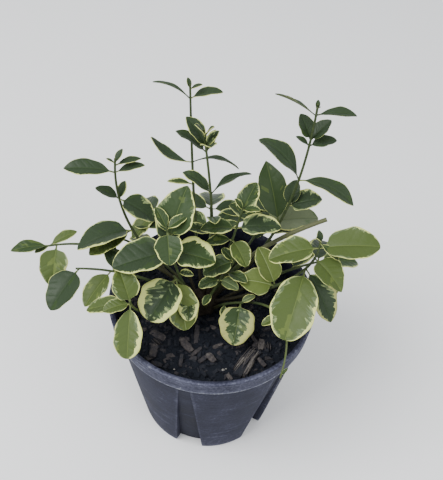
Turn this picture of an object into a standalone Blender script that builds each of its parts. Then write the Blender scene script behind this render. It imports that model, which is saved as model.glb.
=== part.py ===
"""A variegated periwinkle in a round plastic nursery pot.

The pot is one moulding with a rim band and six drain recesses, filled with
potting bark. A woody crown stands on the bark, bare stems rise from it, and each
stem carries one mass of leaves. Lengths are in metres and +Z is up; the tables
hold millimetres, which MM turns into metres. The origin is the centre of the
pot's flat underside. A heading is the turn from +X towards +Y, in degrees.
"""

import math
from itertools import product
from random import Random
from typing import NamedTuple

import bmesh
import bpy
from mathutils import Matrix, Vector
from mathutils.bvhtree import BVHTree

MM = 0.001
GAP = 0.3 * MM
UP = Vector((0.0, 0.0, 1.0))

# Pot, a moulded nursery pot 180 mm across its rim
RIM_RADIUS = 90.0 * MM
POT_HEIGHT = 155.5 * MM
BASE_RADIUS = 63.0 * MM
BAND_HEIGHT = 16.4 * MM
BAND_LOW_RADIUS = 88.5 * MM
WALL_TOP_RADIUS = 85.6 * MM
LIP_WIDTH = 4.4 * MM
LIP_ROUND = 0.9 * MM
WALL = 2.0 * MM
FLOOR = 2.6 * MM
BASE_ROUND = 1.5 * MM
POT_SIDES = 56

# Six recesses in the wall, each deeper and wider towards the base
RECESS_COUNT = 6
RECESS_HEADING = -101.8
RECESS_TOP_HALF = 4.2 * MM
RECESS_BASE_HALF = 12.4 * MM
RECESS_DEPTH = 7.5 * MM
RECESS_REACH = 12.0 * MM

# Potting bark, a fill with coarse chips on top
BARK_TOP = 137.0 * MM
BARK_RINGS = (0.0, 14.0, 26.0, 38.0, 50.0, 62.0, 74.0)
BARK_SPOKES = 28
BARK_ROUGH = 1.8 * MM
CHIP_COUNT = 44
CHIP_LENGTHS = (7.0, 17.0)
CHIP_WIDTHS = (3.5, 7.5)
CHIP_HEIGHTS = (4.0, 6.5)
CHIP_IRREGULAR = 0.5
CHIP_REACH = (26.0, 73.0)
CHIP_CLEAR_OF_CROWN = 27.0 * MM
CHIP_TILT = 14.0
BARK_SEED = 11

# Woody crown on the bark
CROWN_AT = (-8.0, 5.0)
CROWN_RADIUS = 12.0 * MM
CROWN_HEIGHT = 12.5 * MM
CROWN_SIDES = 28
CROWN_SHOULDER = 1.5 * MM

# Stems
STEM_SIDES = 5
STEM_STEPS = 12
STEM_FOOT = 1.6 * MM
STEM_TIP = 0.9 * MM
CANE_FOOT = 2.2 * MM
CANE_TIP = 1.9 * MM
LEAF_FREE_BELOW = 0.06
SHORTEST_BARE_STEM = 0.22

# Leaves
PETIOLE_SHARE = 0.12
PETIOLE_HALF = 0.7 * MM
LEAF_THICK_SHARE = 0.022
LEAF_THIN = 0.9 * MM
LEAF_FOLD = 14.0
LEAF_DROOP = 30.0
LEAF_WIDTH = 0.6
LEAF_ROWS = (0.0, 0.12, 0.20, 0.36, 0.57, 0.78, 0.92)
LEAF_CLEAR = 0.45 * MM

# Small turns and lifts, in degrees, that a leaf tries until it is clear
LEAF_NUDGES = (
    (0, 0), (7, 0), (-7, 0), (0, 7), (0, -7),
    (13, 6), (-13, 6), (13, -8), (-13, -8), (0, 14),
)

# A narrow blade tapers to both ends and a broad one is round: the powers of the
# outline at its base and at its tip, for the two widths
NARROW = 0.4
BROAD = 0.8
NARROW_POWERS = (0.95, 0.85)
BROAD_POWERS = (0.42, 0.68)


class Leaf(NamedTuple):
    """One leaf: its place along the stem, the direction of its chord, and sizes."""

    at: float
    heading: float
    rise: float
    length: float
    bank: float = 0.0
    droop: float = LEAF_DROOP
    width: float = LEAF_WIDTH
    point: float = 1.0


class Shoot(NamedTuple):
    """One stem: its foot's heading, reach and drop on the crown, knee, tip and leaves."""

    name: str
    foot: tuple
    knee: tuple
    tip: tuple
    leaves: tuple


# Feet on the crown: the reach of a foot on its side, and how far down it stands
SIDE = 12.0
HIGH = 3.8
LOW = 8.6

SHOOTS = (
    Shoot("tall_left", (159, SIDE, HIGH), (-93, 40, 188), (-83, 32, 278), (
        Leaf(0.50, 205, -8, 51, -15, 45, 0.8), Leaf(0.50, 213, -22, 43, 0, 25),
        Leaf(0.73, 170, 20, 22), Leaf(0.73, 343, -23, 35, 0, 30, 0.8), Leaf(0.73, 70, 45, 16),
        Leaf(0.91, 187, 7, 41, 15, 30, 0.45), Leaf(0.91, 10, 15, 25, 0, 30, 0.45),
        Leaf(0.955, 25, 4, 22, 0, 30, 0.4), Leaf(0.97, 57, 41, 13, 0, 30, 0.5),
        Leaf(0.97, 170, 25, 8, 0, 30, 0.4))),
    Shoot("tall_back", (107, 7, 0), (-22, 52, 195), (-27, 52, 338), (
        Leaf(0.72, 168, 26, 42, -12, -80, 0.4), Leaf(0.72, 357, -3, 42, 25, 85, 0.26),
        Leaf(0.62, 180, 4, 22, 0, 30, 0.4), Leaf(0.955, 172, 19, 32, -25, 55, 0.32),
        Leaf(0.955, 10, 11, 26, 0, 50, 0.5), Leaf(0.985, 118, 55, 9, 0, 30, 0.5),
        Leaf(0.985, 15, 20, 10, 0, 30, 0.5))),
    Shoot("middle", (80, 2.6, 0), (4, 22, 195), (-15, 33, 312), (
        Leaf(0.72, 20, 24, 39, 20, 70, 0.35), Leaf(0.72, 158, 27, 30, 0, 60, 0.5),
        Leaf(0.50, 190, 20, 24), Leaf(0.50, 10, 25, 24), Leaf(0.60, 280, 30, 22),
        Leaf(0.91, 162, 26, 29, -15, 30, 0.6), Leaf(0.91, 62, 48, 19, 0, 30, 0.5),
        Leaf(0.93, 143, 42, 28), Leaf(0.93, 285, 40, 24), Leaf(0.93, 30, 50, 17),
        Leaf(0.97, 200, 60, 16), Leaf(0.97, 340, 60, 15))),
    Shoot("tall_right", (36, SIDE, LOW), (70, 54, 180), (68, 43, 335), (
        Leaf(0.50, 113, 46, 56, 20, 20, 0.55, 1.2), Leaf(0.60, 3, 18, 29, 0, 20, 1.0),
        Leaf(0.60, 70, 48, 23, 0, 20, 0.7), Leaf(0.72, 149, 29, 50, 0, 75, 0.45),
        Leaf(0.72, 339, -9, 52, 0, 70, 0.4), Leaf(0.88, 128, 45, 22, 0, 20, 0.75),
        Leaf(0.88, 30, 41, 22, 0, 20, 0.75), Leaf(0.86, 150, 17, 13, 0, 30, 0.5),
        Leaf(0.86, 7, 14, 22, -10), Leaf(0.965, 160, 15, 35, -35, 30, 0.4),
        Leaf(0.965, 356, 7, 31, 0, 45, 0.42), Leaf(0.985, 96, 60, 7), Leaf(0.985, 270, 50, 7))),
    Shoot("broad", (225, 6.5, 0), (-30, -14, 180), (-39, -5, 243), (
        Leaf(0.90, 69, 43, 46, 0, 30, 0.8, 1.15), Leaf(0.80, 201, -7, 49, 0, 15, 0.85),
        Leaf(0.97, 281, -39, 27, 0, 20, 0.95), Leaf(0.80, 350, -4, 37, 0, 20, 1.05),
        Leaf(0.80, 105, 44, 42), Leaf(0.985, 130, 36, 20), Leaf(0.985, 30, 24, 20),
        Leaf(0.55, 15, -20, 14, 0, 30, 0.7))),
    Shoot("right", (346, SIDE, HIGH), (84, -20, 205), (83, 0, 234), (
        Leaf(0.37, 175, 2, 33, 30, 30, 0.8, 1.25), Leaf(0.37, 125, 36, 36, 0, 30, 0.7),
        Leaf(0.66, 255, -26, 62, 0, 30, 0.68, 0.7), Leaf(0.66, 312, -42, 50, 0, 30, 0.62, 1.1),
        Leaf(0.80, 315, -22, 35, 0, 40, 0.85, 1.3), Leaf(0.93, 189, -16, 42, 0, 30, 0.75),
        Leaf(0.93, 357, 11, 48, -8, 20, 0.75, 0.8), Leaf(0.985, 325, -20, 20, 0, 30, 0.5),
        Leaf(0.985, 110, 55, 11), Leaf(0.985, 200, 60, 10))),
    Shoot("front_left", (250, SIDE, HIGH), (-14, -12, 168), (-33, -9, 190), (
        Leaf(0.95, 240, -25, 42, 0, 20, 1.0, 0.7), Leaf(0.95, 293, -50, 46, 0, 10, 0.7, 0.9),
        Leaf(0.60, 275, -17, 27, 0, 20, 0.75, 0.8))),
    Shoot("left_front", (206, SIDE, LOW), (-66, -30, 152), (-64, -46, 200), (
        Leaf(0.93, 120, 38, 30, 0, 30, 0.85), Leaf(0.93, 202, -5, 23, 0, 30, 0.7),
        Leaf(0.93, 272, -34, 44, 0, 20, 0.6, 0.7), Leaf(0.90, 178, -20, 40, 0, 30, 0.5))),
    Shoot("far_left", (176, 7.5, 0), (-80, 16, 212), (-148, 21, 181), (
        Leaf(0.97, 200, 4, 33, 0, 30, 0.5), Leaf(0.97, 32, 13, 27, 0, 30, 0.5),
        Leaf(0.92, 269, -38, 37, 0, 30, 0.78, 1.1), Leaf(0.97, 214, -8, 14))),
    Shoot("left", (190, SIDE, HIGH), (-66, 0, 186), (-118, 2, 177), (
        Leaf(0.97, 238, -26, 43, 0, 30, 0.75), Leaf(0.70, 238, -21, 38),
        Leaf(0.68, 100, 25, 28, 0, 30, 0.5))),
    Shoot("front", (322, SIDE, LOW), (10, -8, 158), (27, -14, 167), (
        Leaf(0.93, 263, -32, 37, 0, 30, 0.95, 0.9), Leaf(0.93, 20, 22, 14), Leaf(0.45, 269, -36, 13))),
    Shoot("inner", (20, 7, 0), (8, 14, 180), (20, 18, 248), (
        Leaf(0.92, 60, 43, 32, 0, 30, 0.65), Leaf(0.83, 191, 1, 30, 0, 30, 0.68),
        Leaf(0.83, 0, 6, 37, 0, 30, 0.75), Leaf(0.985, 340, 20, 16), Leaf(0.72, 190, -8, 23),
        Leaf(0.72, 309, -33, 26, 0, 30, 0.8), Leaf(0.985, 160, 50, 12))),
    Shoot("behind_inner", (64, SIDE, HIGH), (25, 35, 170), (40, 52, 200), (
        Leaf(0.95, 11, 4, 52, 0, 30, 0.72), Leaf(0.95, 160, 20, 34), Leaf(0.7, 60, 10, 40))),
    Shoot("heart_low", (282, SIDE, HIGH), (-5, -14, 164), (7, -6, 191), (
        Leaf(0.93, 200, -14, 19, 0, 30, 0.8), Leaf(0.93, 340, -14, 18, 0, 30, 0.8),
        Leaf(0.6, 240, -10, 13))),
    Shoot("heart_high", (300, 6, 0), (8, 0, 175), (17, 2, 205), (
        Leaf(0.94, 204, -16, 28, 0, 30, 0.85), Leaf(0.94, 140, 20, 15, 0, 20, 0.7),
        Leaf(0.7, 330, 10, 22))),
    Shoot("runner", (340, SIDE, LOW), (78, -18, 202), (60, -75, 150), (
        Leaf(0.55, 200, -20, 17), Leaf(0.985, 40, 35, 8, 0, 30, 0.4))),
    Shoot("back_left", (128, SIDE, LOW), (-40, 50, 185), (-58, 74, 184), (
        Leaf(0.95, 125, -28, 44), Leaf(0.95, 224, -32, 34), Leaf(0.95, 40, -14, 42),
        Leaf(0.65, 160, -16, 38), Leaf(0.65, 60, 4, 38))),
    Shoot("back_middle", (88, SIDE, LOW), (-4, 52, 185), (-8, 84, 182), (
        Leaf(0.95, 90, -26, 48), Leaf(0.95, 170, 10, 38), Leaf(0.95, 10, -12, 40),
        Leaf(0.65, 140, 2, 40), Leaf(0.65, 30, 2, 42))),
    Shoot("back_right", (50, SIDE, LOW), (36, 56, 180), (50, 84, 182), (
        Leaf(0.95, 60, -22, 48), Leaf(0.95, 150, -10, 40), Leaf(0.95, 345, -6, 36),
        Leaf(0.65, 78, 2, 42), Leaf(0.65, 20, -8, 40))),
    Shoot("side_right", (4, SIDE, LOW), (60, 20, 176), (94, 30, 178), (
        Leaf(0.95, 20, -18, 44), Leaf(0.95, 80, -18, 42), Leaf(0.95, 300, -14, 34),
        Leaf(0.65, 60, -6, 38))),
    Shoot("side_left", (146, SIDE, LOW), (-50, 36, 170), (-92, 44, 176), (
        Leaf(0.95, 150, -28, 40), Leaf(0.65, 110, -25, 36))),
)
CANE = Shoot("cut_stem", (22, SIDE, HIGH), (19, 25, 190), (91, 34, 226), ())

# Finishes, each a linear base colour and a roughness
FINISHES = {
    "pot_plastic": ((0.050, 0.056, 0.085), 0.55),
    "potting_bark": ((0.032, 0.026, 0.024), 0.95),
    "woody_crown": ((0.100, 0.062, 0.042), 0.9),
    "green_stem": ((0.040, 0.072, 0.024), 0.6),
    "leaf": ((0.085, 0.140, 0.050), 0.45),
}


def clear_scene() -> None:
    """Remove every object, so that the part starts from nothing."""
    for thing in list(bpy.data.objects):
        bpy.data.objects.remove(thing, do_unlink=True)


def make_finish(slot: str) -> bpy.types.Material:
    """Return the plain material of a slot, made once."""
    found = bpy.data.materials.get(slot)
    if found:
        return found
    colour, roughness = FINISHES[slot]
    finish = bpy.data.materials.new(slot)
    finish.use_nodes = True
    shader = finish.node_tree.nodes["Principled BSDF"]
    shader.inputs["Base Color"].default_value = (*colour, 1.0)
    shader.inputs["Roughness"].default_value = roughness
    return finish


def make_object(name: str, shape: bmesh.types.BMesh, slot: str, smooth: bool) -> bpy.types.Object:
    """Turn a closed shape into a named object with its finish."""
    bmesh.ops.recalc_face_normals(shape, faces=shape.faces)
    for face in shape.faces:
        face.smooth = smooth
    mesh = bpy.data.meshes.new(name)
    shape.to_mesh(mesh)
    shape.free()
    mesh.materials.append(make_finish(slot))
    thing = bpy.data.objects.new(name, mesh)
    bpy.context.scene.collection.objects.link(thing)
    return thing


def combine(body: bpy.types.Object, others: list, operation: str, solver: str = "EXACT") -> None:
    """Change a body by a Boolean with a group of solids, which are then removed."""
    group = bpy.data.collections.new(body.name + "_group")
    bpy.context.scene.collection.children.link(group)
    for other in others:
        group.objects.link(other)
    change = body.modifiers.new("change", "BOOLEAN")
    change.operation = operation
    change.operand_type = "COLLECTION"
    change.collection = group
    change.solver = solver
    bpy.context.view_layer.update()
    graph = bpy.context.evaluated_depsgraph_get()
    result = bpy.data.meshes.new_from_object(body.evaluated_get(graph))
    body.modifiers.remove(change)
    slot = body.data.materials[0]
    body.data = result
    result.materials.clear()
    result.materials.append(slot)
    for face in result.polygons:
        face.material_index = 0
    for other in others:
        bpy.data.objects.remove(other, do_unlink=True)
    bpy.data.collections.remove(group)


def keep_one_body(body: bpy.types.Object) -> None:
    """Keep the largest closed piece of a body, which fills hollows and drops scrap."""
    shape = bmesh.new()
    shape.from_mesh(body.data)
    bmesh.ops.remove_doubles(shape, verts=shape.verts, dist=0.002 * MM)
    bmesh.ops.dissolve_degenerate(shape, dist=0.002 * MM, edges=shape.edges)
    bmesh.ops.triangulate(shape, faces=shape.faces)
    waiting = set(shape.verts)
    pieces = []
    while waiting:
        piece = {waiting.pop()}
        edge = list(piece)
        while edge:
            here = edge.pop()
            for link in here.link_edges:
                other = link.other_vert(here)
                if other not in piece:
                    piece.add(other)
                    edge.append(other)
        waiting -= piece
        pieces.append(piece)
    pieces.sort(key=len, reverse=True)
    for piece in pieces[1:]:
        bmesh.ops.delete(shape, geom=list(piece), context="VERTS")
    shape.to_mesh(body.data)
    shape.free()


def turned(profile: list, sides: int) -> bmesh.types.BMesh:
    """Turn a profile of radius and height round the Z axis into a closed shape."""
    shape = bmesh.new()
    rings = []
    for radius, height in profile:
        if radius <= 0.0:
            rings.append([shape.verts.new((0.0, 0.0, height))])
            continue
        ring = []
        for index in range(sides):
            turn = math.tau * index / sides
            ring.append(shape.verts.new((radius * math.cos(turn), radius * math.sin(turn), height)))
        rings.append(ring)
    for lower, upper in zip(rings, rings[1:]):
        for index in range(sides):
            after = (index + 1) % sides
            if len(lower) == 1:
                shape.faces.new((lower[0], upper[after], upper[index]))
            elif len(upper) == 1:
                shape.faces.new((lower[index], lower[after], upper[0]))
            else:
                shape.faces.new((lower[index], lower[after], upper[after], upper[index]))
    return shape


def wall_radius(height: float) -> float:
    """Return the outer radius of the tapering wall at a height."""
    band = POT_HEIGHT - BAND_HEIGHT
    return BASE_RADIUS + (WALL_TOP_RADIUS - BASE_RADIUS) * height / band


def recess_block(heading: float, grown: float, front: float) -> bmesh.types.BMesh:
    """Make the tapering block of one recess.

    Args:
        heading: Where the recess stands round the pot, in degrees.
        grown: How much larger the block is than the recess, on its back and sides.
        front: How far the block's front stands out from the wall.

    Returns:
        A closed shape with its back sloping inwards towards the base.
    """
    top = POT_HEIGHT - BAND_HEIGHT - RECESS_REACH / 4.0
    base = 0.0 if grown else -MM
    shape = bmesh.new()
    corners = []
    for height, half, depth in ((base, RECESS_BASE_HALF, RECESS_DEPTH), (top, RECESS_TOP_HALF, 0.0)):
        outer = wall_radius(height)
        for out in (outer - depth - grown, outer + front):
            for side in (-1.0, 1.0):
                corners.append(shape.verts.new((out, side * (half + grown), height)))
    bmesh.ops.convex_hull(shape, input=corners)
    bmesh.ops.rotate(shape, verts=shape.verts, matrix=Matrix.Rotation(math.radians(heading), 3, "Z"))
    return shape


def recess_headings() -> list:
    """Return the headings of the recesses, evenly spaced."""
    return [RECESS_HEADING + 360.0 * index / RECESS_COUNT for index in range(RECESS_COUNT)]


def build_pot() -> bpy.types.Object:
    """Build the pot: a turned shell, six bosses inside it and six recesses outside."""
    band = POT_HEIGHT - BAND_HEIGHT
    inner = RIM_RADIUS - LIP_WIDTH
    profile = [
        (0.0, 0.0),
        (BASE_RADIUS - BASE_ROUND, 0.0),
        (wall_radius(BASE_ROUND), BASE_ROUND),
        (WALL_TOP_RADIUS, band),
        (BAND_LOW_RADIUS, band),
        (RIM_RADIUS, POT_HEIGHT - LIP_ROUND),
        (RIM_RADIUS - LIP_ROUND, POT_HEIGHT),
        (inner + LIP_ROUND, POT_HEIGHT),
        (inner, POT_HEIGHT - LIP_ROUND),
        (WALL_TOP_RADIUS - WALL, band),
        (wall_radius(FLOOR) - WALL, FLOOR),
        (0.0, FLOOR),
    ]
    pot = make_object("pot", turned(profile, POT_SIDES), "pot_plastic", True)
    bosses = []
    for heading in recess_headings():
        shape = recess_block(heading, WALL, -WALL / 2.0)
        bosses.append(make_object("boss", shape, "pot_plastic", True))
    combine(pot, bosses, "UNION")
    cutters = []
    for heading in recess_headings():
        shape = recess_block(heading, 0.0, RECESS_REACH)
        cutters.append(make_object("recess", shape, "pot_plastic", True))
    combine(pot, cutters, "DIFFERENCE")
    keep_one_body(pot)
    return pot


def build_bark(draw: Random) -> bpy.types.Object:
    """Build the potting bark: a fill clear of the pot, with chips fused on its top."""
    low = FLOOR + GAP
    profile = [(0.0, low), (wall_radius(low) - WALL - 3.0 * GAP, low)]
    profile.append((wall_radius(BARK_TOP) - WALL - 3.0 * GAP, BARK_TOP - BARK_ROUGH))
    for radius in reversed(BARK_RINGS):
        profile.append((radius * MM, BARK_TOP))
    shape = turned(profile, BARK_SPOKES)
    crown = Vector((*CROWN_AT, 0.0)) * MM
    for corner in shape.verts:
        flat = Vector((corner.co.x, corner.co.y, 0.0))
        if corner.co.z > BARK_TOP - GAP and (flat - crown).length > CHIP_CLEAR_OF_CROWN:
            corner.co.z += draw.uniform(-BARK_ROUGH, BARK_ROUGH)
    bark = make_object("potting_bark", shape, "potting_bark", False)
    cutters = []
    for heading in recess_headings():
        shape = recess_block(heading, WALL + GAP, 0.0)
        cutters.append(make_object("clear", shape, "potting_bark", False))
    combine(bark, cutters, "DIFFERENCE")
    chips = []
    while len(chips) < CHIP_COUNT:
        turn = draw.uniform(0.0, math.tau)
        reach = draw.uniform(*CHIP_REACH) * MM
        at = Vector((reach * math.cos(turn), reach * math.sin(turn), BARK_TOP))
        if (Vector((at.x, at.y, 0.0)) - crown).length > CHIP_CLEAR_OF_CROWN + CHIP_LENGTHS[0] * MM:
            chips.append(build_chip(at, draw))
    combine(bark, chips, "UNION")
    keep_one_body(bark)
    return bark


def build_chip(at: Vector, draw: Random) -> bpy.types.Object:
    """Build one angular chip of bark, half sunk in the fill."""
    sizes = [draw.uniform(*limits) * MM for limits in (CHIP_LENGTHS, CHIP_WIDTHS, CHIP_HEIGHTS)]
    shape = bmesh.new()
    corners = []
    for ends in product((-1.0, 1.0), repeat=3):
        shares = [draw.uniform(CHIP_IRREGULAR, 1.0) for _ in ends]
        place = [0.5 * side * size * share for side, size, share in zip(ends, sizes, shares)]
        corners.append(shape.verts.new(place))
    bmesh.ops.convex_hull(shape, input=corners)
    turn = Matrix.Rotation(draw.uniform(0.0, math.tau), 3, "Z")
    tilt = Matrix.Rotation(math.radians(draw.uniform(-CHIP_TILT, CHIP_TILT)), 3, "Y")
    bmesh.ops.rotate(shape, verts=shape.verts, matrix=turn @ tilt)
    bmesh.ops.translate(shape, verts=shape.verts, vec=at)
    return make_object("chip", shape, "potting_bark", False)


def build_crown() -> bpy.types.Object:
    """Build the woody crown, a low round lump that rests just above the bark."""
    low = BARK_TOP + GAP
    top = low + CROWN_HEIGHT
    profile = [
        (0.0, low),
        (CROWN_RADIUS, low),
        (CROWN_RADIUS, top - CROWN_SHOULDER),
        (CROWN_RADIUS - CROWN_SHOULDER, top),
        (0.0, top),
    ]
    shape = turned(profile, CROWN_SIDES)
    bmesh.ops.translate(shape, verts=shape.verts, vec=Vector((*CROWN_AT, 0.0)) * MM)
    return make_object("crown", shape, "woody_crown", False)


def foot_axis(shoot: Shoot) -> Vector:
    """Return the way a stem leaves the crown: up from its top, or out of its side."""
    if shoot.foot[1] < SIDE:
        return UP
    heading = math.radians(shoot.foot[0])
    return Vector((math.cos(heading), math.sin(heading), 0.0))


def foot_of(shoot: Shoot) -> Vector:
    """Return where a stem starts, a small gap off the crown."""
    turn, reach, drop = shoot.foot
    heading = math.radians(turn)
    top = BARK_TOP + GAP + CROWN_HEIGHT
    on_crown = Vector((reach * math.cos(heading), reach * math.sin(heading), -drop)) * MM
    return Vector((CROWN_AT[0] * MM, CROWN_AT[1] * MM, top)) + on_crown + GAP * foot_axis(shoot)


def along(shoot: Shoot, share: float) -> Vector:
    """Return the point of a stem's curve at a share of its run."""
    foot = foot_of(shoot)
    knee = Vector(shoot.knee) * MM
    tip = Vector(shoot.tip) * MM
    rest = 1.0 - share
    return rest * rest * foot + 2.0 * share * rest * knee + share * share * tip


def stem_shape(shoot: Shoot, start: float, end: float, radii: tuple) -> bmesh.types.BMesh:
    """Make a tapering tube along part of a stem's curve.

    Args:
        shoot: The stem.
        start: The share of its run where the tube starts.
        end: The share of its run where the tube ends.
        radii: The radius at the stem's foot and at its tip.

    Returns:
        A closed tube.
    """
    steps = max(3, round(STEM_STEPS * (end - start)))
    shape = bmesh.new()
    rings = []
    for step in range(steps + 1):
        share = start + (end - start) * step / steps
        ahead = (along(shoot, share + 0.01) - along(shoot, share - 0.01)).normalized()
        if share == 0.0:
            ahead = foot_axis(shoot)
        across = ahead.cross(Vector((0.3, 1.0, 0.1))).normalized()
        other = ahead.cross(across)
        radius = radii[0] + (radii[1] - radii[0]) * share
        ring = []
        for index in range(STEM_SIDES):
            turn = math.tau * index / STEM_SIDES
            out = radius * (math.cos(turn) * across + math.sin(turn) * other)
            ring.append(shape.verts.new(along(shoot, share) + out))
        rings.append(ring)
    for lower, upper in zip(rings, rings[1:]):
        for index in range(STEM_SIDES):
            after = (index + 1) % STEM_SIDES
            shape.faces.new((lower[index], lower[after], upper[after], upper[index]))
    shape.faces.new(rings[0])
    shape.faces.new(rings[-1])
    return shape


def blade_half(share: float, leaf: Leaf) -> float:
    """Return the blade's half width as a part of its widest.

    Args:
        share: The place along the leaf, from 0 at the stem to 1 at the tip.
        leaf: The leaf, whose width and point shape the outline.

    Returns:
        A number from 0 to 1.
    """
    blade = (share - PETIOLE_SHARE) / (1.0 - PETIOLE_SHARE)
    if blade <= 0.0:
        return 0.0
    broad = min(1.0, max(0.0, (leaf.width - NARROW) / (BROAD - NARROW)))
    powers = zip(NARROW_POWERS, BROAD_POWERS)
    base, tip = (slim + (full - slim) * broad for slim, full in powers)
    tip *= leaf.point
    widest = base / (base + tip)
    top = widest**base * (1.0 - widest) ** tip
    return blade**base * (1.0 - blade) ** tip / top


def leaf_shape(root: Vector, leaf: Leaf, grown: float = 0.0) -> bmesh.types.BMesh:
    """Make one leaf: a stalk and a blade, folded up along its midrib and drooping.

    Args:
        root: The point inside the stem that the leaf grows from.
        leaf: The leaf's direction and sizes.
        grown: How much the leaf is swollen, for the test on its neighbours.

    Returns:
        A closed shape with a lens-like section.
    """
    heading = math.radians(leaf.heading)
    bank = math.radians(leaf.bank)
    fold = math.radians(LEAF_FOLD)
    droop = math.radians(leaf.droop)
    lift = math.radians(leaf.rise) + droop / 2.0
    length = leaf.length * MM
    out = Vector((math.cos(heading), math.sin(heading), 0.0))
    side = out.cross(UP)
    widest = leaf.width * length * (1.0 - PETIOLE_SHARE) / 2.0
    thick = max(LEAF_THIN, LEAF_THICK_SHARE * length) / 2.0 + grown
    shape = bmesh.new()
    rings = []
    spine = root.copy()
    before = 0.0
    for share in (*LEAF_ROWS, 1.0):
        angle = lift - droop * (share + before) / 2.0
        spine += (math.cos(angle) * out + math.sin(angle) * UP) * (share - before) * length
        before = share
        angle = lift - droop * share
        normal = math.cos(angle) * UP - math.sin(angle) * out
        across = math.cos(bank) * side + math.sin(bank) * normal
        above = math.cos(bank) * normal - math.sin(bank) * side
        if share == 1.0:
            ahead = math.cos(angle) * out + math.sin(angle) * UP
            rings.append([shape.verts.new(spine + grown * ahead)])
            continue
        half = max(PETIOLE_HALF, widest * blade_half(share, leaf)) + grown
        rise = math.sin(fold) * half * above
        reach = math.cos(fold) * half * across
        sides = (spine + rise - reach, spine + rise + reach)
        places = (sides[0], spine + thick * above, sides[1], spine - thick * above)
        rings.append([shape.verts.new(place) for place in places])
    for lower, upper in zip(rings, rings[1:]):
        for index in range(4):
            after = (index + 1) % 4
            if len(upper) == 1:
                shape.faces.new((lower[index], lower[after], upper[0]))
            else:
                shape.faces.new((lower[index], lower[after], upper[after]))
                shape.faces.new((lower[index], upper[after], upper[index]))
    shape.faces.new(rings[0])
    return shape


def tree_of(shape: bmesh.types.BMesh) -> BVHTree:
    """Return a search tree of a shape."""
    return BVHTree.FromBMesh(shape)


def object_tree(thing: bpy.types.Object) -> BVHTree:
    """Return a search tree of an object that lies at the origin."""
    corners = [corner.co for corner in thing.data.vertices]
    return BVHTree.FromPolygons(corners, [tuple(face.vertices) for face in thing.data.polygons])


def leafy_start(shoot: Shoot) -> float:
    """Return the share of a stem where its mass of leaves starts."""
    first = min(leaf.at for leaf in shoot.leaves) - LEAF_FREE_BELOW
    return first if first > SHORTEST_BARE_STEM else 0.0


def place_leaf(shoot: Shoot, leaf: Leaf, others: list) -> tuple:
    """Find the first small turn of a leaf that keeps it clear of its neighbours.

    Args:
        shoot: The stem that the leaf grows on.
        leaf: The leaf as the table gives it.
        others: Search trees of everything that the leaf must not touch.

    Returns:
        The turned leaf and the search tree of its swollen shape, or None twice.
    """
    root = along(shoot, leaf.at)
    for turn, lift in LEAF_NUDGES:
        tried = leaf._replace(heading=leaf.heading + turn, rise=leaf.rise + lift)
        shape = leaf_shape(root, tried, LEAF_CLEAR)
        tree = tree_of(shape)
        shape.free()
        if not any(tree.overlap(other) for other in others):
            return tried, tree
    return None, None


def build_shoots(solids: list) -> None:
    """Build every bare stem and every mass of leaves.

    Args:
        solids: The objects that the shoots must not touch.
    """
    fixed = [object_tree(thing) for thing in solids]
    stems = {}
    for shoot in SHOOTS:
        shape = stem_shape(shoot, 0.0, 1.0, (STEM_FOOT + LEAF_CLEAR, STEM_TIP + LEAF_CLEAR))
        stems[shoot.name] = tree_of(shape)
        shape.free()
    placed = {shoot.name: [] for shoot in SHOOTS}
    for shoot in SHOOTS:
        start = leafy_start(shoot)
        radii = (STEM_FOOT, STEM_TIP)
        if start > 0.0:
            break_share = GAP / (along(shoot, start) - along(shoot, start - 0.01)).length * 0.01
            bare = stem_shape(shoot, 0.0, start - break_share, radii)
            make_object("stem_" + shoot.name, bare, "green_stem", True)
        twig = make_object("leaves_" + shoot.name, stem_shape(shoot, start, 1.0, radii), "leaf", True)
        others = list(fixed)
        for name, tree in stems.items():
            if name != shoot.name:
                others.append(tree)
                others.extend(placed[name])
        leaves = []
        for leaf in shoot.leaves:
            turned_leaf, tree = place_leaf(shoot, leaf, others)
            if turned_leaf is None:
                continue
            placed[shoot.name].append(tree)
            shape = leaf_shape(along(shoot, leaf.at), turned_leaf)
            leaves.append(make_object("one_leaf", shape, "leaf", True))
        combine(twig, leaves, "UNION", "MANIFOLD")
        keep_one_body(twig)


def main() -> None:
    """Build the potted plant from the pot up."""
    clear_scene()
    pot = build_pot()
    bark = build_bark(Random(BARK_SEED))
    crown = build_crown()
    cane = make_object("cut_stem", stem_shape(CANE, 0.0, 1.0, (CANE_FOOT, CANE_TIP)), "green_stem", True)
    build_shoots([pot, bark, crown, cane])


main()
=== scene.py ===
"""The looks of a variegated periwinkle in a nursery pot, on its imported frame.

Everything is in metres with +Z up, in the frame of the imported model. The shoots
repeat the table that the solids were made from, in millimetres, and each leaf
grows again there with a finer mesh. A heading is the turn from +X towards +Y.
"""

import logging
import math
from dataclasses import dataclass, field
from enum import IntEnum
from random import Random
from typing import Any, NamedTuple

import bpy
import numpy as np
from mathutils import Matrix, Vector, noise
from mathutils.bvhtree import BVHTree


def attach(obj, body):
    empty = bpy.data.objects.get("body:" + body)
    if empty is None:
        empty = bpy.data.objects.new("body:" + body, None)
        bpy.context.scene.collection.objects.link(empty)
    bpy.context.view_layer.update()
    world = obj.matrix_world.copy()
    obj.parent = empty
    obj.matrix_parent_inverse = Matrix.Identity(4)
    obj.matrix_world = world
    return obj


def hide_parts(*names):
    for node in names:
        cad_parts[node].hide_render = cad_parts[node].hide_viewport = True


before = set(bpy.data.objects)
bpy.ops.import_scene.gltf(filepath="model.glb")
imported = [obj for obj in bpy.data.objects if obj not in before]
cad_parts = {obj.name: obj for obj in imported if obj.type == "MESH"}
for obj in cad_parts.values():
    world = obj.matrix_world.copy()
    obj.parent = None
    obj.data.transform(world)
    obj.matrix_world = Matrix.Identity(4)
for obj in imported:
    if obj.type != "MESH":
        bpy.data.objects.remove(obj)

LOG = logging.getLogger("periwinkle")
MM = 0.001
UP = Vector((0.0, 0.0, 1.0))
IMAGE_HEIGHT = 480


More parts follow.
